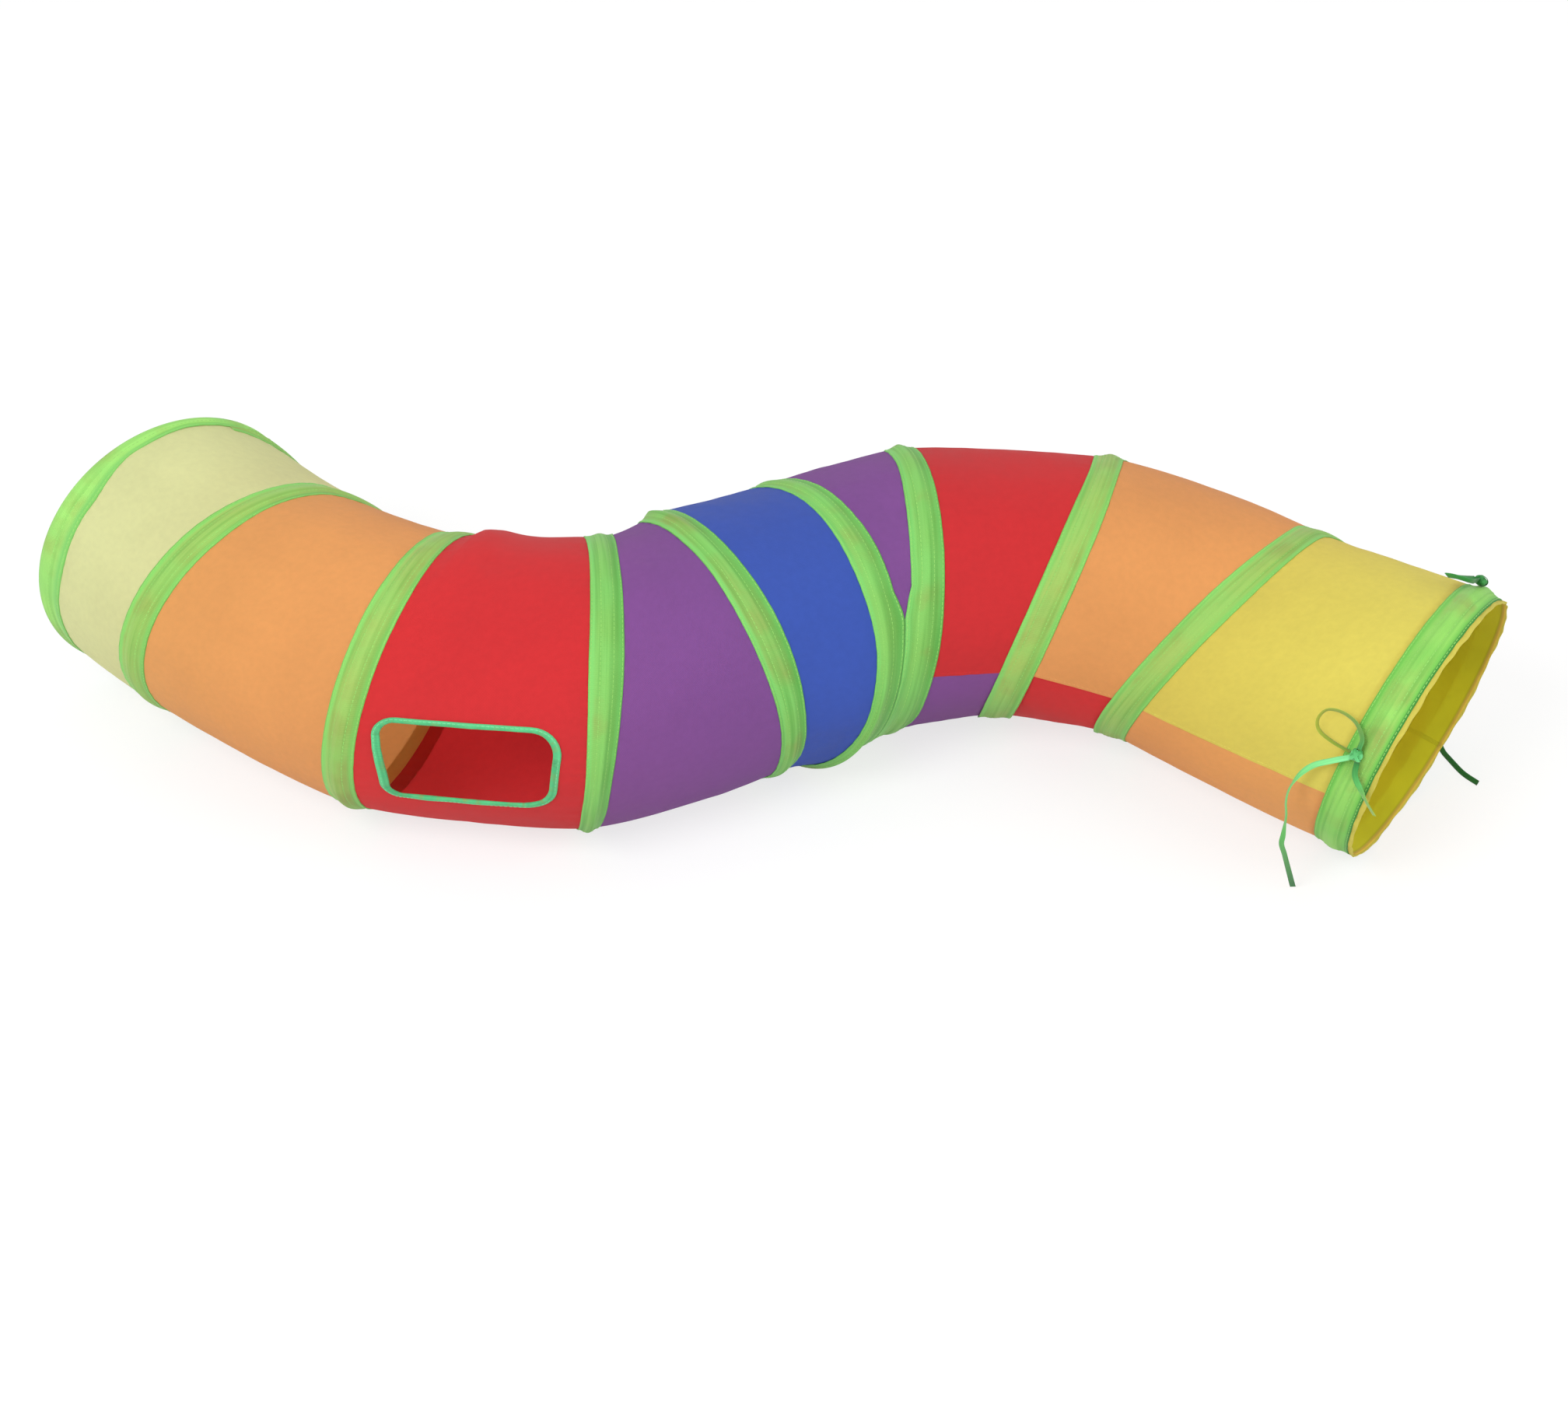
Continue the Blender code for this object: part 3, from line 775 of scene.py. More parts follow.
def beside(line, angle, along):
    """Frame and bulge at a distance along the tube from one wire line, following the cloth."""
    angle, along = np.broadcast_arrays(np.asarray(angle, float), np.asarray(along, float))
    origin, ray = (part.copy() for part in line_frame(line, angle))
    out = np.zeros(angle.shape)
    for step, axis in ((1, AXES[LAST]), (-1, -AXES[0])):
        left = np.where(along * step > 0, np.abs(along), 0.0)
        going = left > 0
        here = line
        while 0 <= here + step <= LAST + 1:
            span = np.maximum(span_between(here, here + step, angle), 1e-9)
            share = left / span
            inside = going & (share < 1)
            part = share[..., None]
            near, far = line_frame(here, angle), line_frame(here + step, angle)
            for target, start, end in ((origin, near[0], far[0]), (ray, near[1], far[1])):
                target[inside] = (start + (end - start) * part)[inside]
            out[inside] = bulge(min(here, here + step), angle, span, share)[inside]
            going = going & ~inside
            left = left - span
            here += step
        if going.any():
            near = line_frame(here, angle)
            origin[going] = (near[0] + axis * left[..., None])[going]
            ray[going] = near[1][going]
    return origin, ray, out


def unit(vectors):
    return vectors / np.linalg.norm(vectors, axis=-1, keepdims=True)


def above_floor(points):
    points[..., 2] = np.maximum(points[..., 2], LEAST_HEIGHT)
    return points


# Folds


def wander(value, seed):
    """Smooth, repeatable wandering between about -1 and 1."""
    phases = np.random.default_rng(seed).uniform(0, 2 * pi, 4)
    waves = zip((1, 2.3, 4.1, 7.7), phases)
    return sum(np.sin(value * rate + phase) / rate**0.4 for rate, phase in waves) / 2.2


def hump(value, middle, width):
    """Smooth hump of height 1."""
    return np.exp(-(((value - middle) / width) ** 2))


def by_angle(angle, table):
    """Value that changes smoothly between the pairs of a table."""
    angles, values = np.array(table, float).T
    index = np.clip(np.searchsorted(angles, angle) - 1, 0, len(angles) - 2)
    share = np.clip((angle - angles[index]) / (angles[index + 1] - angles[index]), 0, 1)
    return values[index] + (values[index + 1] - values[index]) * share * share * (3 - 2 * share)


def folds(band, angle, share, span):
    """Height of the small folds of one band, above its slack."""
    round_tube = np.radians(angle) * TUBE_RADIUS
    middle = 4 * share * (1 - share)
    diagonal = np.sin(round_tube / 0.021 + share * 5 + 3 * wander(round_tube * 9, band))
    broad = wander(round_tube * 24 + 2 * share, band + 20)
    broad = broad * wander(share * 5 + round_tube * 8, band + 40)
    height = FOLD_HEIGHT * middle * (diagonal * 0.5 + broad * 1.6)
    for edge, seed in ((share * span, band + 60), ((1 - share) * span, band + 80)):
        near = np.exp(-np.maximum(edge - TAPE_WIDTH / 2, 0) / PUCKER_REACH)
        strength = 0.55 + 0.45 * wander(round_tube * 14, seed)
        height += PUCKER_HEIGHT * near * strength * np.sin(
            round_tube * 2 * pi / PUCKER_LENGTH + 2.5 * wander(round_tube * 30, seed + 1)
        )
    if band == WINDOW_BAND:
        rise = GATHER_RISE * hump(share, 0.25, 0.15) - GATHER_DIP * hump(share, 0.62, 0.16)
        held = np.clip((share * span - TAPE_WIDTH / 2) / 0.012, 0, 1)
        height += rise * held * hump(angle, 118, 32)
    return np.where(span > 2 * NARROWEST_END, height, 0)


# Sections


def sections_of(points, hoops):
    """The section that each point lies in, where a piece crosses the planes of these hoops."""
    section = np.full(len(points), hoops[0])
    for hoop in hoops:
        section[(points - CENTRES[hoop]) @ AXES[hoop] > 0] = hoop + 1
    return section


def split(points, faces, places, hoops):
    """The mesh cut at the planes of these hoops: points, faces and places for each section."""
    shape = bmesh.new()
    layer = shape.loops.layers.uv.new("cloth")
    places = places.reshape(-1, 2)
    corners = [shape.verts.new(point) for point in points.reshape(-1, 3)]
    for face in faces:
        made = shape.faces.new([corners[i] for i in face])
        for loop, i in zip(made.loops, face):
            loop[layer].uv = places[i]
    for hoop in hoops:
        everything = shape.verts[:] + shape.edges[:] + shape.faces[:]
        plane = {"plane_co": CENTRES[hoop], "plane_no": AXES[hoop]}
        bmesh.ops.bisect_plane(shape, geom=everything, dist=1e-5, **plane)
    kept = {}
    middles = np.array([face.calc_center_median() for face in shape.faces])
    for face, section in zip(shape.faces, sections_of(middles, hoops).tolist()):
        kept.setdefault(section, []).append(face)
    parts = {}
    for section, members in kept.items():
        index, out_points, out_places, out_faces = {}, [], [], []
        for face in members:
            ring = []
            for loop in face.loops:
                if loop.vert not in index:
                    index[loop.vert] = len(out_points)
                    out_points.append(tuple(loop.vert.co))
                    out_places.append(tuple(loop[layer].uv))
                ring.append(index[loop.vert])
            out_faces.append(ring)
        parts[section] = (out_points, out_faces, out_places)
    shape.free()
    return parts


def gather_up(store, key, part):
    """Adds a part to those that will be one piece."""
    points, faces, places = store.setdefault(key, ([], [], []))
    start = len(points)
    points.extend(part[0])
    faces.extend([i + start for i in face] for face in part[1])
    places.extend(part[2])


def carry(piece, section):
    """Makes a piece past either mouth move with the ring there, and bakes any other piece's place
    into its mesh.
    """
    if section in (0, LAST + 1):
        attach(piece, f"hoop_{min(section, LAST)}")
        return
    low, high = section - 1, section
    start, end = tuple(CENTRES[low]), tuple(CENTRES[high])
    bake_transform(piece)
    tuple(start)
    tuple(end)


# Cloth


def fine_angles(start, end, step=FINE_STEP):
    """Angles from start to end, about a step apart."""
    return np.linspace(start, end, max(2, round((end - start) / step) + 1))


def whole_turn():
    """Angles round a whole hoop, ending just before the first."""
    return fine_angles(SEAM_LEFT, SEAM_LEFT + 358)


def flat_place(along, angle):
    """Place on the cloth in metres, as pairs."""
    return np.stack([along, np.radians(angle) * TUBE_RADIUS], -1)


def on_tube(origin, ray, height):
    """Points at a height over the tube's own radius, kept above the floor."""
    return above_floor(origin + ray * (TUBE_RADIUS + height)[..., None])


def sag(angle, share, span):
    """Share of the span by which the window's lower left corner is drawn in by its weight."""
    along, up = window_offset(angle, share)
    low = np.clip((WINDOW_HEIGHT * 0.45 - up) / (WINDOW_HEIGHT * 0.9), 0, 1)
    below = np.clip((up + WINDOW_HEIGHT) / (WINDOW_HEIGHT / 2), 0, 1)
    held = 1 - np.exp(-((share / 0.08) ** 2))
    height = low * low * (3 - 2 * low) * below * held
    return WINDOW_SAG * height * hump(along, -WINDOW_WIDTH / 2, WINDOW_WIDTH * 0.3) / span


def cloth_point(band, angle, share, lift=0.0, crumpled=True):
    """Point on the cloth of one band."""
    low, high = line_frame(band, angle), line_frame(band + 1, angle)
    span = span_between(band, band + 1, angle)
    if band == WINDOW_BAND:
        share = share + sag(angle, share, span)
    part = share[..., None]
    radius = np.full(np.shape(share), TUBE_RADIUS + lift)
    if crumpled:
        radius = radius + bulge(band, angle, span, share) + folds(band, angle, share, span)
    origin = low[0] + (high[0] - low[0]) * part
    ray = low[1] + (high[1] - low[1]) * part
    return origin + ray * radius[..., None]


def wide_angles(low, width, step=1.0):
    """Angles of the climb at which two wire lines are further apart than a width."""
    angles = np.arange(RAMP_START, RAMP_END + 1.0, step)
    return angles[span_between(low, low + 1, angles) > width]


def cloth_range(band):
    """Angles where a band's cloth starts and ends."""
    if band == 0:
        return wide_angles(0, NARROWEST_END)[0], SEAM_LEFT + 360
    start = SEAM_LEFT if band <= SEAM_CHANGE else SEAM_RIGHT
    end = 360 + (SEAM_LEFT if band < SEAM_CHANGE else SEAM_RIGHT)
    if band == LAST:
        end = wide_angles(LAST, NARROWEST_END)[-1]
    return start, end


def window_offset(angle, share):
    """Distance along the band and up from the window's middle."""
    span = span_between(WINDOW_BAND, WINDOW_BAND + 1, angle)
    return (share - WINDOW_SHARE) * span, np.radians(angle - WINDOW_ANGLE) * TUBE_RADIUS


def in_window(angle, share, margin):
    """Whether a place is inside the window's edge, or less than a margin outside it."""
    along, up = window_offset(angle, share)
    corner = np.where(along < 0, *WINDOW_CORNERS)
    beyond_x = np.maximum(np.abs(along) - (WINDOW_WIDTH / 2 - corner), 0)
    beyond_y = np.maximum(np.abs(up) - (WINDOW_HEIGHT / 2 - corner), 0)
    return np.hypot(beyond_x / (corner + margin * SIDE_BINDING), beyond_y / (corner + margin)) < 1


def make_cloth():
    """Each band of cloth, cut at the hoop that it crosses."""
    sheets = []
    for band in range(LAST + 1):
        start, end = cloth_range(band)
        fine = 2 if band == WINDOW_BAND else 1
        rows = fine_angles(start, end, FINE_STEP / fine)
        widest = span_between(band, band + 1, rows).max()
        columns = np.linspace(0, 1, max(6, round(widest / FINE_WIDTH * fine)) + 1)
        angle, share = np.meshgrid(rows, columns, indexing="ij")
        points = above_floor(cloth_point(band, angle, share))
        span = span_between(band, band + 1, angle)
        places = flat_place(share * span + band * 0.4, angle)
        faces = grid_faces(len(rows), len(columns))
        if band == WINDOW_BAND:
            ring = np.array(faces)
            middles = angle.ravel()[ring].mean(1), share.ravel()[ring].mean(1)
            faces = ring[~in_window(*middles, BINDING_WIDTH * 0.45)].tolist()
        colour = BAND_COLOURS[max(band, 1) - 1]
        areas = flat_areas(band, angle, share)
        for section, part in sorted(split(points, faces, places, [band]).items()):
            if section in (0, LAST + 1):
                continue
            side = "front" if section == band else "under"
            name = f"cloth_{band}_{side}" if band else "cloth_mouth_gusset"
            piece = new_piece(name, *part, CLOTH[colour], colour)
            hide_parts(f"band_{band}" if band else "mouth_gusset")
            carry(piece, section)
            sheets.append((piece, section, *areas[section]))
    return sheets


def hoop_wire(hoop):
    """Name of the solid that is a hoop's wire."""
    return f"spring_ring_{hoop}" if hoop in (0, LAST) else f"spring_turn_{hoop}"


def flat_areas(band, angle, share):
    """Width, length and area of the cloth on each side of its hoop's plane, before it hangs in."""
    taut = cloth_point(band, angle, share, crumpled=False)
    across, down = taut[1:, :-1] - taut[:-1, :-1], taut[:-1, 1:] - taut[:-1, :-1]
    cells = np.linalg.norm(np.cross(across, down), axis=-1)
    centres = (taut[1:, 1:] + taut[:-1, :-1]) / 2
    after = (centres - CENTRES[band]) @ AXES[band] > 0
    lengths = np.linalg.norm(down, axis=-1)
    found = {}
    for section, inside in ((band, ~after), (band + 1, after)):
        widths = (lengths * inside).sum(1)
        used = widths > 0.001
        if used.any():
            length = TUBE_RADIUS * radians(angle[1, 0] - angle[0, 0]) * used.sum()
            area = (cells * inside).sum()
            if band == WINDOW_BAND == section:
                area -= WINDOW_WIDTH * WINDOW_HEIGHT
            found[section] = (widths.max(), length, min(area, widths.max() * length))
    return found


# Tape


def tape_height(angle, along, edge):
    """Height of the tape over the cloth: flat wings that rise to a rounded ridge over the wire.

    edge is the share of its width that the tape keeps; where it is narrow, its ridge is too.
    """
    off = np.abs(along)
    ridge = RIDGE_HEIGHT * hump(off * edge, 0, RIDGE_WIDTH * np.clip(edge, 0.7, 1))
    wing = np.clip(off / (TAPE_WIDTH / 2), 0, 1) ** 3
    round_tube = np.radians(angle) * TUBE_RADIUS
    wave = np.sin(round_tube * 2 * pi / WING_WAVE_LENGTH + 2 * wander(round_tube * 20, 5))
    return TAPE_LIFT + ridge + WING_WAVE_HEIGHT * wing * wave


def rolled_in(angle, beyond, height):
    """Point past the first ring, where the mouth's edge is rolled in round it."""
    turn = np.maximum(beyond, 0) / MOUTH_ROLL
    past = (MOUTH_ROLL + height) * np.sin(turn)
    origin, ray, out = beside(0, angle, np.where(beyond > 0, -past, -beyond))
    return on_tube(origin, ray, (MOUTH_ROLL + height) * np.cos(turn) - MOUTH_ROLL + out)


def kept_width(line, angle, along):
    """Share of its full half width that the tape keeps on the side of along."""
    uneven = 1 + UNEVEN_WIDTH * wander(np.radians(angle) * 11, line + 100)
    if line == 0:
        return uneven * np.where(along > 0, by_angle(angle, MOUTH_WING), 1)
    if line == LAST + 1:
        return uneven * np.where(along > 0, 1, LAST_MOUTH_WING)
    kept = by_angle(angle, LINES_4_AND_5 if line in (4, 5) else TAPE_TAPER)
    if line in (1, LAST):
        mouth, wing, facing = 0, by_angle(angle, MOUTH_WING), along < 0
        if line == LAST:
            mouth, wing, facing = LAST, 1, along > 0
        room = span_between(mouth, mouth + 1, angle) / (TAPE_WIDTH / 2) - wing - TAPES_APART
        narrowed = np.clip(room, NARROWEST_WING, kept)
        kept = np.where(facing & (angle > RAMP_START), narrowed, kept)
    if line in (6, 7):
        facing = along > 0 if line == 6 else along < 0
        kept = np.where(facing, kept, by_angle(angle, LINE_6_LEFT if line == 6 else LINE_7_RIGHT))
        meeting = span_between(6, 7, angle) / TAPE_WIDTH - 0.01
        close = np.clip((TAPES_PART - angle) / 12, 0, 1)
        kept = np.where(facing, kept + (meeting - kept) * close, kept)
    return uneven * kept


def tape_point(line, angle, along, lift=0.0):
    """Point on the tape of one wire line, at a distance along the tube from its middle."""
    angle, along = np.broadcast_arrays(angle, along)
    edge = kept_width(line, angle, along)
    height = tape_height(angle, along, edge) + lift
    if line == 0:
        return rolled_in(angle, -along * edge, height)
    origin, ray, out = beside(line, angle, along * edge)
    return on_tube(origin, ray, height + out)


# Places across the tape in millimetres, closer together over the wire;
# its outermost edges drop to the cloth
HALF_PROFILE = (16.5, 16.4, 15.2, 13.0, 11.0, 9.2, 7.6, 6.2, 5.0, 3.8, 2.7, 1.7, 0.8)
TAPE_PROFILE = np.array([-off for off in HALF_PROFILE] + [0.0, *reversed(HALF_PROFILE)]) / 1000
TAPE_DROP = np.zeros(len(TAPE_PROFILE))
TAPE_DROP[[0, -1]] = 0.0001 - TAPE_LIFT


def tape_runs():
    """Name of the solid, wire line, angles and hoops that each length of tape crosses."""
    start = wide_angles(0, MEETING_SPAN)[0]
    end = wide_angles(LAST, MEETING_SPAN)[-1]
    runs = [("tape_band_0", 0, (SEAM_LEFT, SEAM_LEFT + 360), [0])]
    for hoop in range(1, LAST):
        climb = (start if hoop == 1 else RAMP_START, RAMP_END)
        runs.append((f"tape_band_{hoop}", hoop, climb, [hoop - 1, hoop]))
        runs.append((f"tape_band_{hoop}", hoop + 1, (SEAM_LEFT, RAMP_START), [hoop]))
    runs.append(("tape_tail", LAST, (RAMP_START, end), [LAST - 1, LAST]))
    runs.append((f"tape_band_{LAST}", LAST + 1, (SEAM_LEFT, SEAM_LEFT + 360), [LAST]))
    return runs


def cut_ends(line, ends, along):
    """Angles at which a length of tape starts and ends at a distance from its middle.

    Beside a mouth it is cut along the mouth's tape.
    """
    start, end = (np.full(np.shape(along), float(angle)) for angle in ends)
    angles = np.arange(RAMP_START + 2, RAMP_END - 1, 0.5)
    if line == 1 and ends[1] == RAMP_END:
        clear = span_between(0, 1, angles) - TAPE_WIDTH / 2 * by_angle(angles, MOUTH_WING)
        start = np.interp(cut_distance(along, RAMP_START + CUT_TURN), clear, angles)
    if line == LAST and ends[0] == RAMP_START:
        clear = span_between(LAST, LAST + 1, angles) - TAPE_WIDTH / 2
        distance = cut_distance(-np.asarray(along), RAMP_END - CUT_TURN)
        end = np.interp(distance, clear[::-1], angles[::-1])
    return start, end


def cut_distance(out, angle):
    """How far the wire is from the mouth's tape where the tape is cut.

    out is the distance from the tape's middle, on the side away from the mouth.
    """
    out = np.maximum(out, 0)
    ridge = RIDGE_ROOM * np.clip(1 - out / RIDGE_ROOM, 0, 1)
    return CUT_GAP + ridge - out * by_angle(angle, TAPE_TAPER)


def stitches(place, half=STITCH_LENGTH / 2, wide=STITCH_WIDTH / 2, lift=0.0):
    """Corners of a row of raised stitches.

    place gives one point for each stitch at a distance along it, across it and out from the cloth.
    """
    corners = [(x * half, y * wide, lift + z * STITCH_HEIGHT) for x, y, z in STITCH_CORNERS]
    return np.stack([place(*corner) for corner in corners], 1)


def sewn_piece(name, points, material, slot, section, order=1):
    """A row of stitches as one piece; order -1 turns its faces round."""
    faces = []
    for start in range(0, 6 * len(points), 6):
        a, b, c, d, e, f = range(start, start + 6)
        faces += [face[::order] for face in ((a, b, f, e), (c, d, e, f), (b, c, f), (d, a, e))]
    places = np.zeros((6 * len(points), 2))
    carry(new_piece(name, points, faces, places, material, slot), section)


def tape_stitches(line, ends, along):
    """A row of stitches on the tape, at one distance from its middle."""
    start, end = np.radians(ends) * TUBE_RADIUS
    middle = np.arange(start, end, STITCH_PITCH) + STITCH_PITCH / 2

    def place(run, off, lift):
        angle = np.degrees((middle + run) / TUBE_RADIUS)
        return tape_point(line, angle, np.full(angle.shape, along + off), lift)

    return stitches(place)


def make_tapes():
    """The tape over the wire and its stitching, as one piece of each for every section."""
    tapes, sewn, stands_for = {}, {}, {}
    for node, line, (start, end), hoops in tape_runs():
        other = "light" if line in LIGHT_LINES else "middle"
        kind = {0: "first", LAST + 1: "last"}.get(line, other)
        rows = fine_angles(start, end)
        angle, along = np.meshgrid(rows, TAPE_PROFILE, indexing="ij")
        first, last = cut_ends(line, (start, end), along)
        angle = first + (last - first) * (angle - start) / (end - start)
        points = tape_point(line, angle, along, np.broadcast_to(TAPE_DROP, along.shape))
        places = flat_place(along, angle) + (0, line * 0.9)
        faces = grid_faces(len(rows), len(TAPE_PROFILE))
        for section, part in split(points, faces, places, hoops).items():
            gather_up(tapes, (section, kind), part)
            stands_for.setdefault((section, kind), set()).add(node)
        for along_row in STITCH_ROWS:
            row = tape_stitches(line, cut_ends(line, (start, end), along_row), along_row)
            found = sections_of(row.mean(1), hoops)
            for section in np.unique(found).tolist():
                sewn.setdefault(section, []).append(row[found == section])
    for (section, kind), part in sorted(tapes.items()):
        where = {0: "mouth_0", LAST + 1: f"mouth_{LAST}"}.get(section, f"section_{section}")
        ending = f"_{kind}" if kind != "middle" and 0 < section <= LAST else ""
        piece = new_piece(f"tape_{where}{ending}", *part, TAPES[kind], "green_tape")
        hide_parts(*stands_for[(section, kind)])
        carry(piece, section)
        if section in sewn:
            rows = np.concatenate(sewn.pop(section))
            sewn_piece(f"stitches_{where}", rows, THREAD, "green_tape", section)


def make_hems():
    """The cloth past each ring: under the tape, then a thin wavy lip that is folded back inside."""
    wing = TAPE_WIDTH / 2
    profile = (
        (0.0, 0.0),
        (wing * 0.5, 0.0),
        (wing - 0.001, 0.0),
        (wing + HEM_LIP * 0.5, 0.0003),
        (wing + HEM_LIP * 0.9, 0.0004),
        (wing + HEM_LIP, -0.0001),
        (wing + HEM_LIP * 0.9, -0.0007),
        (wing, -0.0009),
        (wing * 0.7, -0.0009),
        (wing * 0.62, -0.0004),
    )
    rows = whole_turn()
    angle, along = np.meshgrid(rows, [off for off, _ in profile], indexing="ij")
    loose = np.clip((along - wing + 0.004) / (HEM_LIP + 0.004), 0, 1)
    turn = np.radians(angle)
    wave = np.sin(turn * 23 + 2 * np.sin(turn * 5)) * 0.6 + np.sin(turn * 41 + 1.3) * 0.4
    run = np.sin(turn * 9 + 0.7) * 0.6 + np.sin(turn * 31) * 0.4
    beyond = along + LIP_UNEVEN * loose * run
    height = np.array([lift for _, lift in profile]) + LIP_WAVE * loose * wave
    for hoop, colour in ((0, "pale_yellow"), (LAST, "yellow")):
        if hoop == 0:
            points = rolled_in(angle, beyond, height)
        else:
            origin, ray, _ = beside(LAST + 1, angle, beyond)
            points = on_tube(origin, ray, height)
        faces = grid_faces(len(rows), len(profile), closed=True)
        name = f"hem_mouth_{hoop}"
        piece = new_piece(name, points, faces, flat_place(along, angle), CLOTH[colour], colour)
        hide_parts(f"mouth_hem_{hoop}")
        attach(piece, f"hoop_{hoop}")


def make_lining():
    """The wide hem inside the tied mouth, from its lip to past the tape."""
    angle, share = np.meshgrid(whole_turn(), np.linspace(0, 1, 22), indexing="ij")
    front = TAPE_WIDTH / 2 + HEM_LIP * 0.7
    deeper = DEEPER_LINING * hump(np.mod(angle, 360), 205, 50)
    along = front - share * (front + LINING_DEPTH + deeper)
    origin, ray, out = beside(LAST + 1, angle, along)
    turn = np.radians(angle)
    wave = 0.0004 * wander(turn * 6, 7) * wander(along * 90 + turn * 3, 8)
    points = on_tube(origin, ray, out + wave - 0.0015)
    faces = [face[::-1] for face in grid_faces(*angle.shape, closed=True)]
    parts = split(points, faces, flat_place(along, angle), [LAST])
    for section, part in sorted(parts.items()):
        name = "lining_edge" if section > LAST else "lining_inside"
        carry(new_piece(name, *part, LINING, "yellow"), section)


def make_seams():
    """Stitching along the seams where each band meets the next."""
    for band in range(1, LAST + 1):
        seam = SEAM_LEFT if band <= SEAM_CHANGE else SEAM_RIGHT
        span = float(span_between(band, band + 1, np.array([seam + 2.0]))[0])
        count = int((span - TAPE_WIDTH) / STITCH_PITCH)
        middles = (TAPE_WIDTH / 2 + STITCH_PITCH * (np.arange(count) + 0.5)) / span

        def place(run, off, lift):
            angle = np.full(count, seam + PAST_SEAM + off)
            return above_floor(cloth_point(band, angle, middles + run, lift))

        wide = np.degrees(STITCH_WIDTH / 2 / TUBE_RADIUS)
        points = stitches(place, STITCH_LENGTH / 2 / span, wide, 0.0001)
        colour = BAND_COLOURS[band - 1]
        sewn_piece(f"seam_stitches_{band}", points, SEAM_THREADS[colour], colour, band, -1)


# Window


def window_outline(margin, corner_steps=9, side_steps=16):
    """Rounded rectangle round the window's middle, at a margin outside its edge."""
    corners = []
    for quarter, (x, y) in enumerate(((1, 1), (-1, 1), (-1, -1), (1, -1))):
        corner = WINDOW_CORNERS[0 if x < 0 else 1]
        turn = np.radians(90 * (quarter + np.arange(corner_steps + 1) / corner_steps))
        across = x * (WINDOW_WIDTH / 2 - corner) + (corner + margin * SIDE_BINDING) * np.cos(turn)
        up = y * (WINDOW_HEIGHT / 2 - corner) + (corner + margin) * np.sin(turn)
        corners.append(np.stack([across, up], -1))
    points = []
    for quarter, corner in enumerate(corners):
        first, second = corner[-1], corners[(quarter + 1) % 4][0]
        steps = side_steps if quarter % 2 == 0 else side_steps // 4
        points += [corner, first + (second - first) * np.arange(1, steps)[:, None] / steps]
    return np.vstack(points)


def window_surface(place, lift):
    """Point over the cloth at a place given from the window's middle."""
    angle = WINDOW_ANGLE + np.degrees(place[..., 1] / TUBE_RADIUS)
    span = span_between(WINDOW_BAND, WINDOW_BAND + 1, angle)
    share = WINDOW_SHARE + place[..., 0] / span
    return cloth_point(WINDOW_BAND, angle, share, lift)


def make_window():
    """The tape that is folded over the edge of the window, and its stitching."""
    profile = (
        (BINDING_WIDTH, 0.0001),
        (BINDING_WIDTH - 0.0002, 0.0010),
        (BINDING_WIDTH * 0.6, BINDING_TOP),
        (BINDING_WIDTH * 0.2, 0.0015),
        (-0.0004, 0.0012),
        (-0.0010, 0.0003),
        (-0.0010, -0.0006),
        (-0.0004, -0.0014),
        (BINDING_WIDTH * 0.2, -0.0016),
        (BINDING_WIDTH * 0.6, -0.0015),
        (BINDING_WIDTH - 0.0002, -0.0011),
        (BINDING_WIDTH, -0.0002),
    )
    rings = []
    for margin, lift in profile:
        outline = window_outline(margin)
        run = np.arange(len(outline))
        uneven = 0.00022 * np.sin(run * 0.9) + 0.0002 * np.sin(run * 0.37 + 1)
        rings.append(window_surface(outline, lift + uneven * np.sign(lift)))
    points = np.stack(rings, 1)
    length = np.linspace(0, ROUND_WINDOW, len(points))
    across = np.array([margin for margin, _ in profile])
    places = np.stack(np.broadcast_arrays(across, length[:, None]), -1)
    faces = grid_faces(len(points), len(profile), closed=True)
    piece = new_piece("window_edge_tape", points, faces, places, BINDING, "mint_tape")
    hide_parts("window_binding")
    carry(piece, WINDOW_BAND)

    line = window_outline(BINDING_WIDTH * 0.62, 14, 34)
    ring = np.vstack([line, line[:1]])
    steps = np.linalg.norm(np.diff(ring, axis=0), axis=1)
    distances = np.concatenate([[0], np.cumsum(steps)])
    total = distances[-1]

    def at(distance):
        wrapped = np.mod(distance, total)
        return np.stack([np.interp(wrapped, distances, ring[:, i]) for i in (0, 1)], -1)

    number = int(total / STITCH_PITCH)
    middles = np.arange(number) * total / number
    forward = unit(at(middles + 0.0005) - at(middles - 0.0005))
    sideways = np.stack([-forward[:, 1], forward[:, 0]], -1)
    points = stitches(
        lambda run, off, lift: window_surface(at(middles + run) + sideways * off, lift),
        lift=BINDING_TOP,
    )
    sewn_piece("stitches_window", points, THREAD_MINT, "mint_tape", WINDOW_BAND)


# Wire


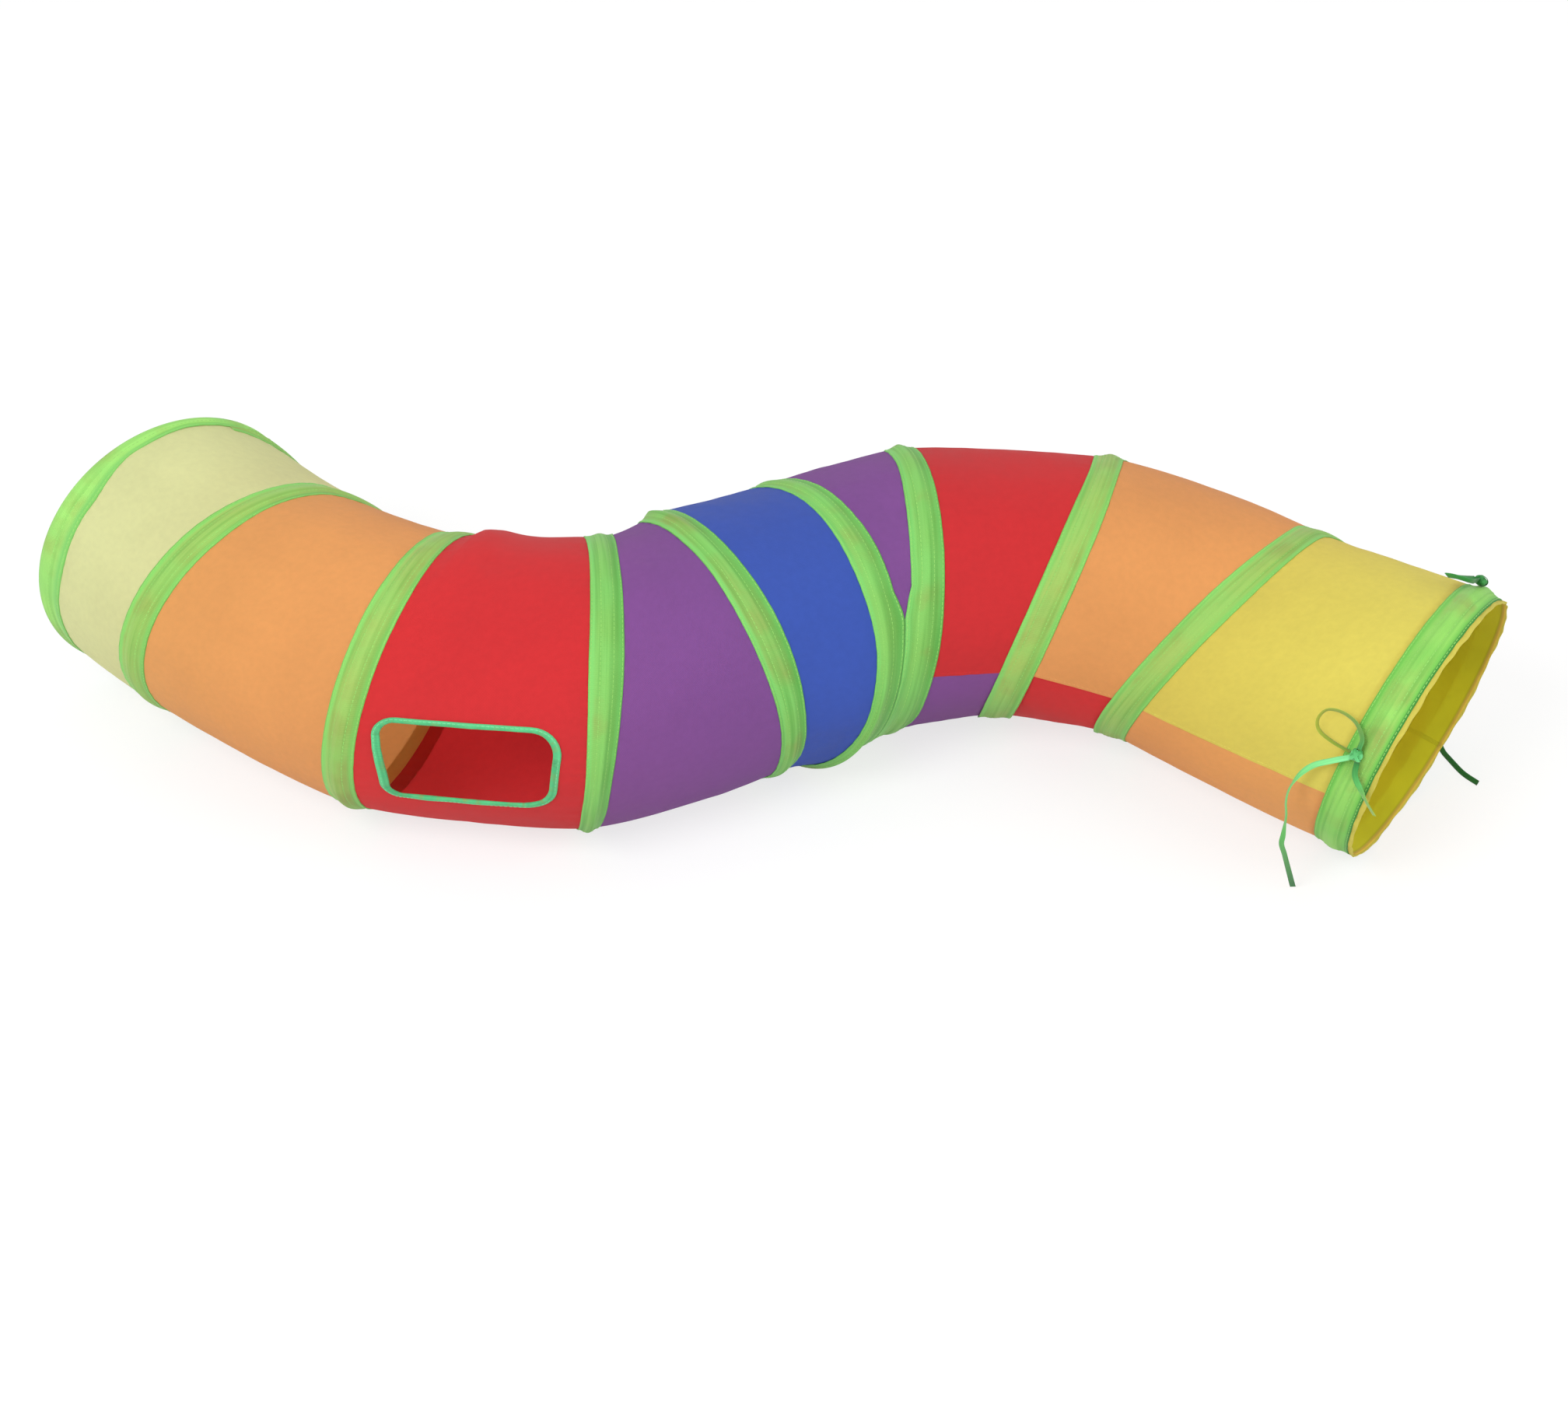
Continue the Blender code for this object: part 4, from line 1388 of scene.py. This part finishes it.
def make_wires():
    """The stretches of wire that climb from one hoop to the next, inside the tape."""
    free = TAPE_WIDTH + CLEARANCE
    sides = 8
    turn = 2 * pi * np.arange(sides) / sides
    for hoop in range(1, LAST + 1):
        start = wide_angles(0, free, STEP)[0] if hoop == 1 else RAMP_START
        end = wide_angles(LAST, free, STEP)[-1] if hoop == LAST else RAMP_END
        rows = fine_angles(start + 0.08, end - 0.08, 3)
        angle, part = np.meshgrid(rows, turn, indexing="ij")
        origin, ray, _ = beside(hoop, angle, WIRE_RADIUS * np.cos(part))
        radius = WIRE_CENTRE + WIRE_RADIUS * np.sin(part)
        points = on_tube(origin, ray, radius - TUBE_RADIUS)
        faces = closed_tube(len(rows), sides)
        places = np.stack([part, angle], -1)
        piece = new_piece(f"wire_climb_{hoop}", points, faces, places, STEEL, "spring_steel")
        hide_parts(f"spring_link_{hoop}")
        carry(piece, hoop)
    for hoop in range(LAST + 1):
        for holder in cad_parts[hoop_wire(hoop)].material_slots:
            holder.material = STEEL


# Ties


def smooth_route(given, spacing=0.0025):
    """Evenly divided smooth curve through the given points."""
    points = np.array(given, float)
    ends = np.vstack([points[0] * 2 - points[1], points, points[-1] * 2 - points[-2]])
    route = []
    for before, start, end, after in zip(ends, ends[1:], ends[2:], ends[3:]):
        pieces = max(1, round(np.linalg.norm(end - start) / spacing))
        for i in range(pieces):
            t = i / pieces
            pull = (end - before) * (t - 2 * t * t + t**3) / 2
            pull = pull + (after - start) * (t**3 - t * t) / 2
            route.append(start + (end - start) * (3 * t * t - 2 * t**3) + pull)
    return np.array([*route, points[-1]])


def make_ribbon(name, node, given, material, turns, far_end):
    """Flat ribbon along a route.

    turns holds pairs of a share of its length and the degrees by which its flat side faces away
    from the camera there.
    """
    route = smooth_route(given)
    tangent = unit(np.gradient(route, axis=0))
    share = np.linspace(0, 1, len(route))[:, None]
    turn = np.radians(np.interp(share, *zip(*turns)))
    wide = unit(np.cross(route - np.array(CAMERA_PLACE), tangent))
    flat = np.cross(tangent, wide)
    x, y = np.cos(turn), np.sin(turn)
    wide, flat = wide * x + flat * y, flat * x - wide * y
    half, thick = RIBBON_WIDTH / 2, RIBBON_THICKNESS / 2
    profile = (
        (-half, 0),
        (-half * 0.93, thick * 0.8),
        (-half * 0.4, thick * 1.15),
        (half * 0.4, thick * 1.15),
        (half * 0.93, thick * 0.8),
        (half, 0),
        (half * 0.93, -thick * 0.8),
        (half * 0.4, -thick * 0.7),
        (-half * 0.4, -thick * 0.7),
        (-half * 0.93, -thick * 0.8),
    )
    points = above_floor(np.stack([route + wide * x + flat * y for x, y in profile], 1))
    faces = closed_tube(len(route), len(profile))
    across = np.array([x for x, _ in profile])
    places = np.stack(np.broadcast_arrays(across, share), -1)
    piece = new_piece(name, points, faces, places, material, "ribbon_green")
    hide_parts(node)
    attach(piece, f"hoop_{LAST}")
    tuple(given[0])


def make_knot(name, node, centre, outwards, material):
    """Half bow pulled tight: a rounded lump with two turns of ribbon wrapped over it."""
    facing = Vector(outwards).to_track_quat("Z", "Y").to_matrix()
    size = np.array(KNOT_SIZE)
    points, places = [], []
    rows, columns = 13, 20
    for i in range(rows):
        polar = pi * (i + 0.5) / rows
        for j in range(columns):
            round_it = 2 * pi * j / columns
            crease = 1 - 0.16 * abs(sin(1.5 * round_it + 2 * cos(polar))) ** 6
            way = np.array((sin(polar) * cos(round_it), sin(polar) * sin(round_it), cos(polar)))
            points.append(way * size * crease * 0.93)
            places.append((0.003 * cos(round_it), i / rows))
    faces = grid_faces(rows, columns, across_closed=True)
    faces += [tuple(range(columns - 1, -1, -1)), tuple(range((rows - 1) * columns, rows * columns))]
    for lean, offset in ((0.5, 0.0009), (-0.65, -0.0006)):
        start = len(points)
        steps, cross = 32, 5
        for i in range(steps):
            turn = 2 * pi * i / steps
            for j in range(cross):
                aside = (j / (cross - 1) - 0.5) * 0.0032 + offset
                swell = 1.04 + 0.07 * cos(pi * (j / (cross - 1) - 0.5))
                x, y = aside / size[0], cos(turn)
                x, y = x * cos(lean) - y * sin(lean), x * sin(lean) + y * cos(lean)
                points.append(unit(np.array((x, y, sin(turn)))) * size * swell)
                places.append((aside, i / steps))
        faces += [tuple(start + i for i in face) for face in grid_faces(steps, cross, closed=True)]
    turned = np.array([facing @ Vector(point) for point in points]) + np.array(centre)
    piece = new_piece(name, turned, faces, places, material, "ribbon_green")
    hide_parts(node)
    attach(piece, f"hoop_{LAST}")


def make_ties():
    """The two ribbon ties of the right mouth."""
    loop = ((0, 62), (0.3, 50), (0.5, 66), (0.75, 56), (1, 40))
    long_end = ((0, 25), (0.08, 5), (0.2, 5), (0.3, 74), (0.5, 70), (0.58, 25), (0.72, 30), (1, 15))
    short_end = ((0, 20), (0.4, 10), (0.65, 66), (1, 70))
    far_loop, far_end = ((0, 45), (1, 45)), ((0, 40), (0.7, 20), (1, 10))
    for name, route, material, turns, end in (
        ("near_loop", NEAR_LOOP, LOOP_RIBBON, loop, "object"),
        ("near_long_end", NEAR_LONG_END, RIBBON, long_end, "bare"),
        ("near_short_end", NEAR_SHORT_END, SHORT_RIBBON, short_end, "bare"),
        ("far_loop", FAR_LOOP, PAINTED_SHADE_RIBBON, far_loop, "object"),
        ("far_end", FAR_END, PAINTED_SHADE_RIBBON, far_end, "bare"),
    ):
        node = name.replace("_", "_tie_", 1)
        make_ribbon(f"ribbon_{name}", node, route, material, turns, end)
    make_knot("knot_near", "near_tie_knot", NEAR_KNOT, NEAR_KNOT_OUT, KNOT_RIBBON)
    make_knot("knot_far", "far_tie_knot", FAR_KNOT, FAR_KNOT_OUT, PAINTED_SHADE_RIBBON)


# Floor and light


def seen_directly(tree):
    """1 for the camera, reflections and transmissions, and 0 for light that falls on things."""
    path = add(tree, "LightPath")
    seen = maths(tree, "MAXIMUM", path.outputs["Is Camera Ray"], path.outputs["Is Glossy Ray"])
    return maths(tree, "MAXIMUM", seen, path.outputs["Is Transmission Ray"])


def make_floor():
    """White floor that keeps half of the object's shadow."""
    mesh = bpy.data.meshes.new("floor")
    signs = ((-1, -1), (1, -1), (1, 1), (-1, 1))
    corners = [(x * FLOOR_REACH, y * FLOOR_REACH, 0) for x, y in signs]
    mesh.from_pydata(corners, [], [(0, 1, 2, 3)])
    made, tree = new_material("floor")
    seen = seen_directly(tree)
    white = mixed(tree, seen, (*[FLOOR_UNSEEN] * 3, 1), (*[FLOOR_SEEN] * 3, 1))
    shader = add(tree, "BsdfDiffuse", Color=white)
    glow = add(tree, "Emission", Color=(1, 1, 1, 1), Strength=1.0)
    mix = add(tree, "MixShader")
    tree.links.new(times(tree, seen, FLOOR_GLOW), mix.inputs[0])
    tree.links.new(shader.outputs[0], mix.inputs[1])
    tree.links.new(glow.outputs[0], mix.inputs[2])
    add(tree, "OutputMaterial", Surface=mix.outputs[0])
    mesh.materials.append(made)
    floor = bpy.data.objects.new("floor", mesh)
    bpy.context.scene.collection.objects.link(floor)


def make_lamp(name, place, target, size, power):
    data = bpy.data.lights.new(name, "AREA")
    data.shape = "DISK"
    data.size = size
    data.energy = power
    made = bpy.data.objects.new(name, data)
    bpy.context.scene.collection.objects.link(made)
    made.location = place
    made.rotation_mode = "QUATERNION"
    made.rotation_quaternion = (Vector(target) - Vector(place)).to_track_quat("-Z", "Y")


def make_light():
    """White light from all round, and two lamps."""
    world = bpy.data.worlds.new("studio")
    bpy.context.scene.world = world
    world.use_nodes = True
    tree = world.node_tree
    tree.nodes.clear()
    strength = remap(tree, seen_directly(tree), 0.0, 1.0, SKY_UNSEEN, 1.0)
    sky = add(tree, "Background", Color=(1, 1, 1, 1), Strength=strength)
    add(tree, "OutputWorld", Surface=sky.outputs[0])
    make_lamp("key", (-1.6, -2.2, 3.0), (0, 0, 0.1), 1.8, 84)
    make_lamp("fill", (2.6, -1.4, 2.2), (0, 0, 0.1), 1.8, 32)
    bpy.context.scene.view_settings.view_transform = "Standard"


make_ties()
SHEETS = make_cloth()
make_tapes()
make_hems()
make_lining()
make_seams()
make_window()
make_wires()
make_floor()
make_light()
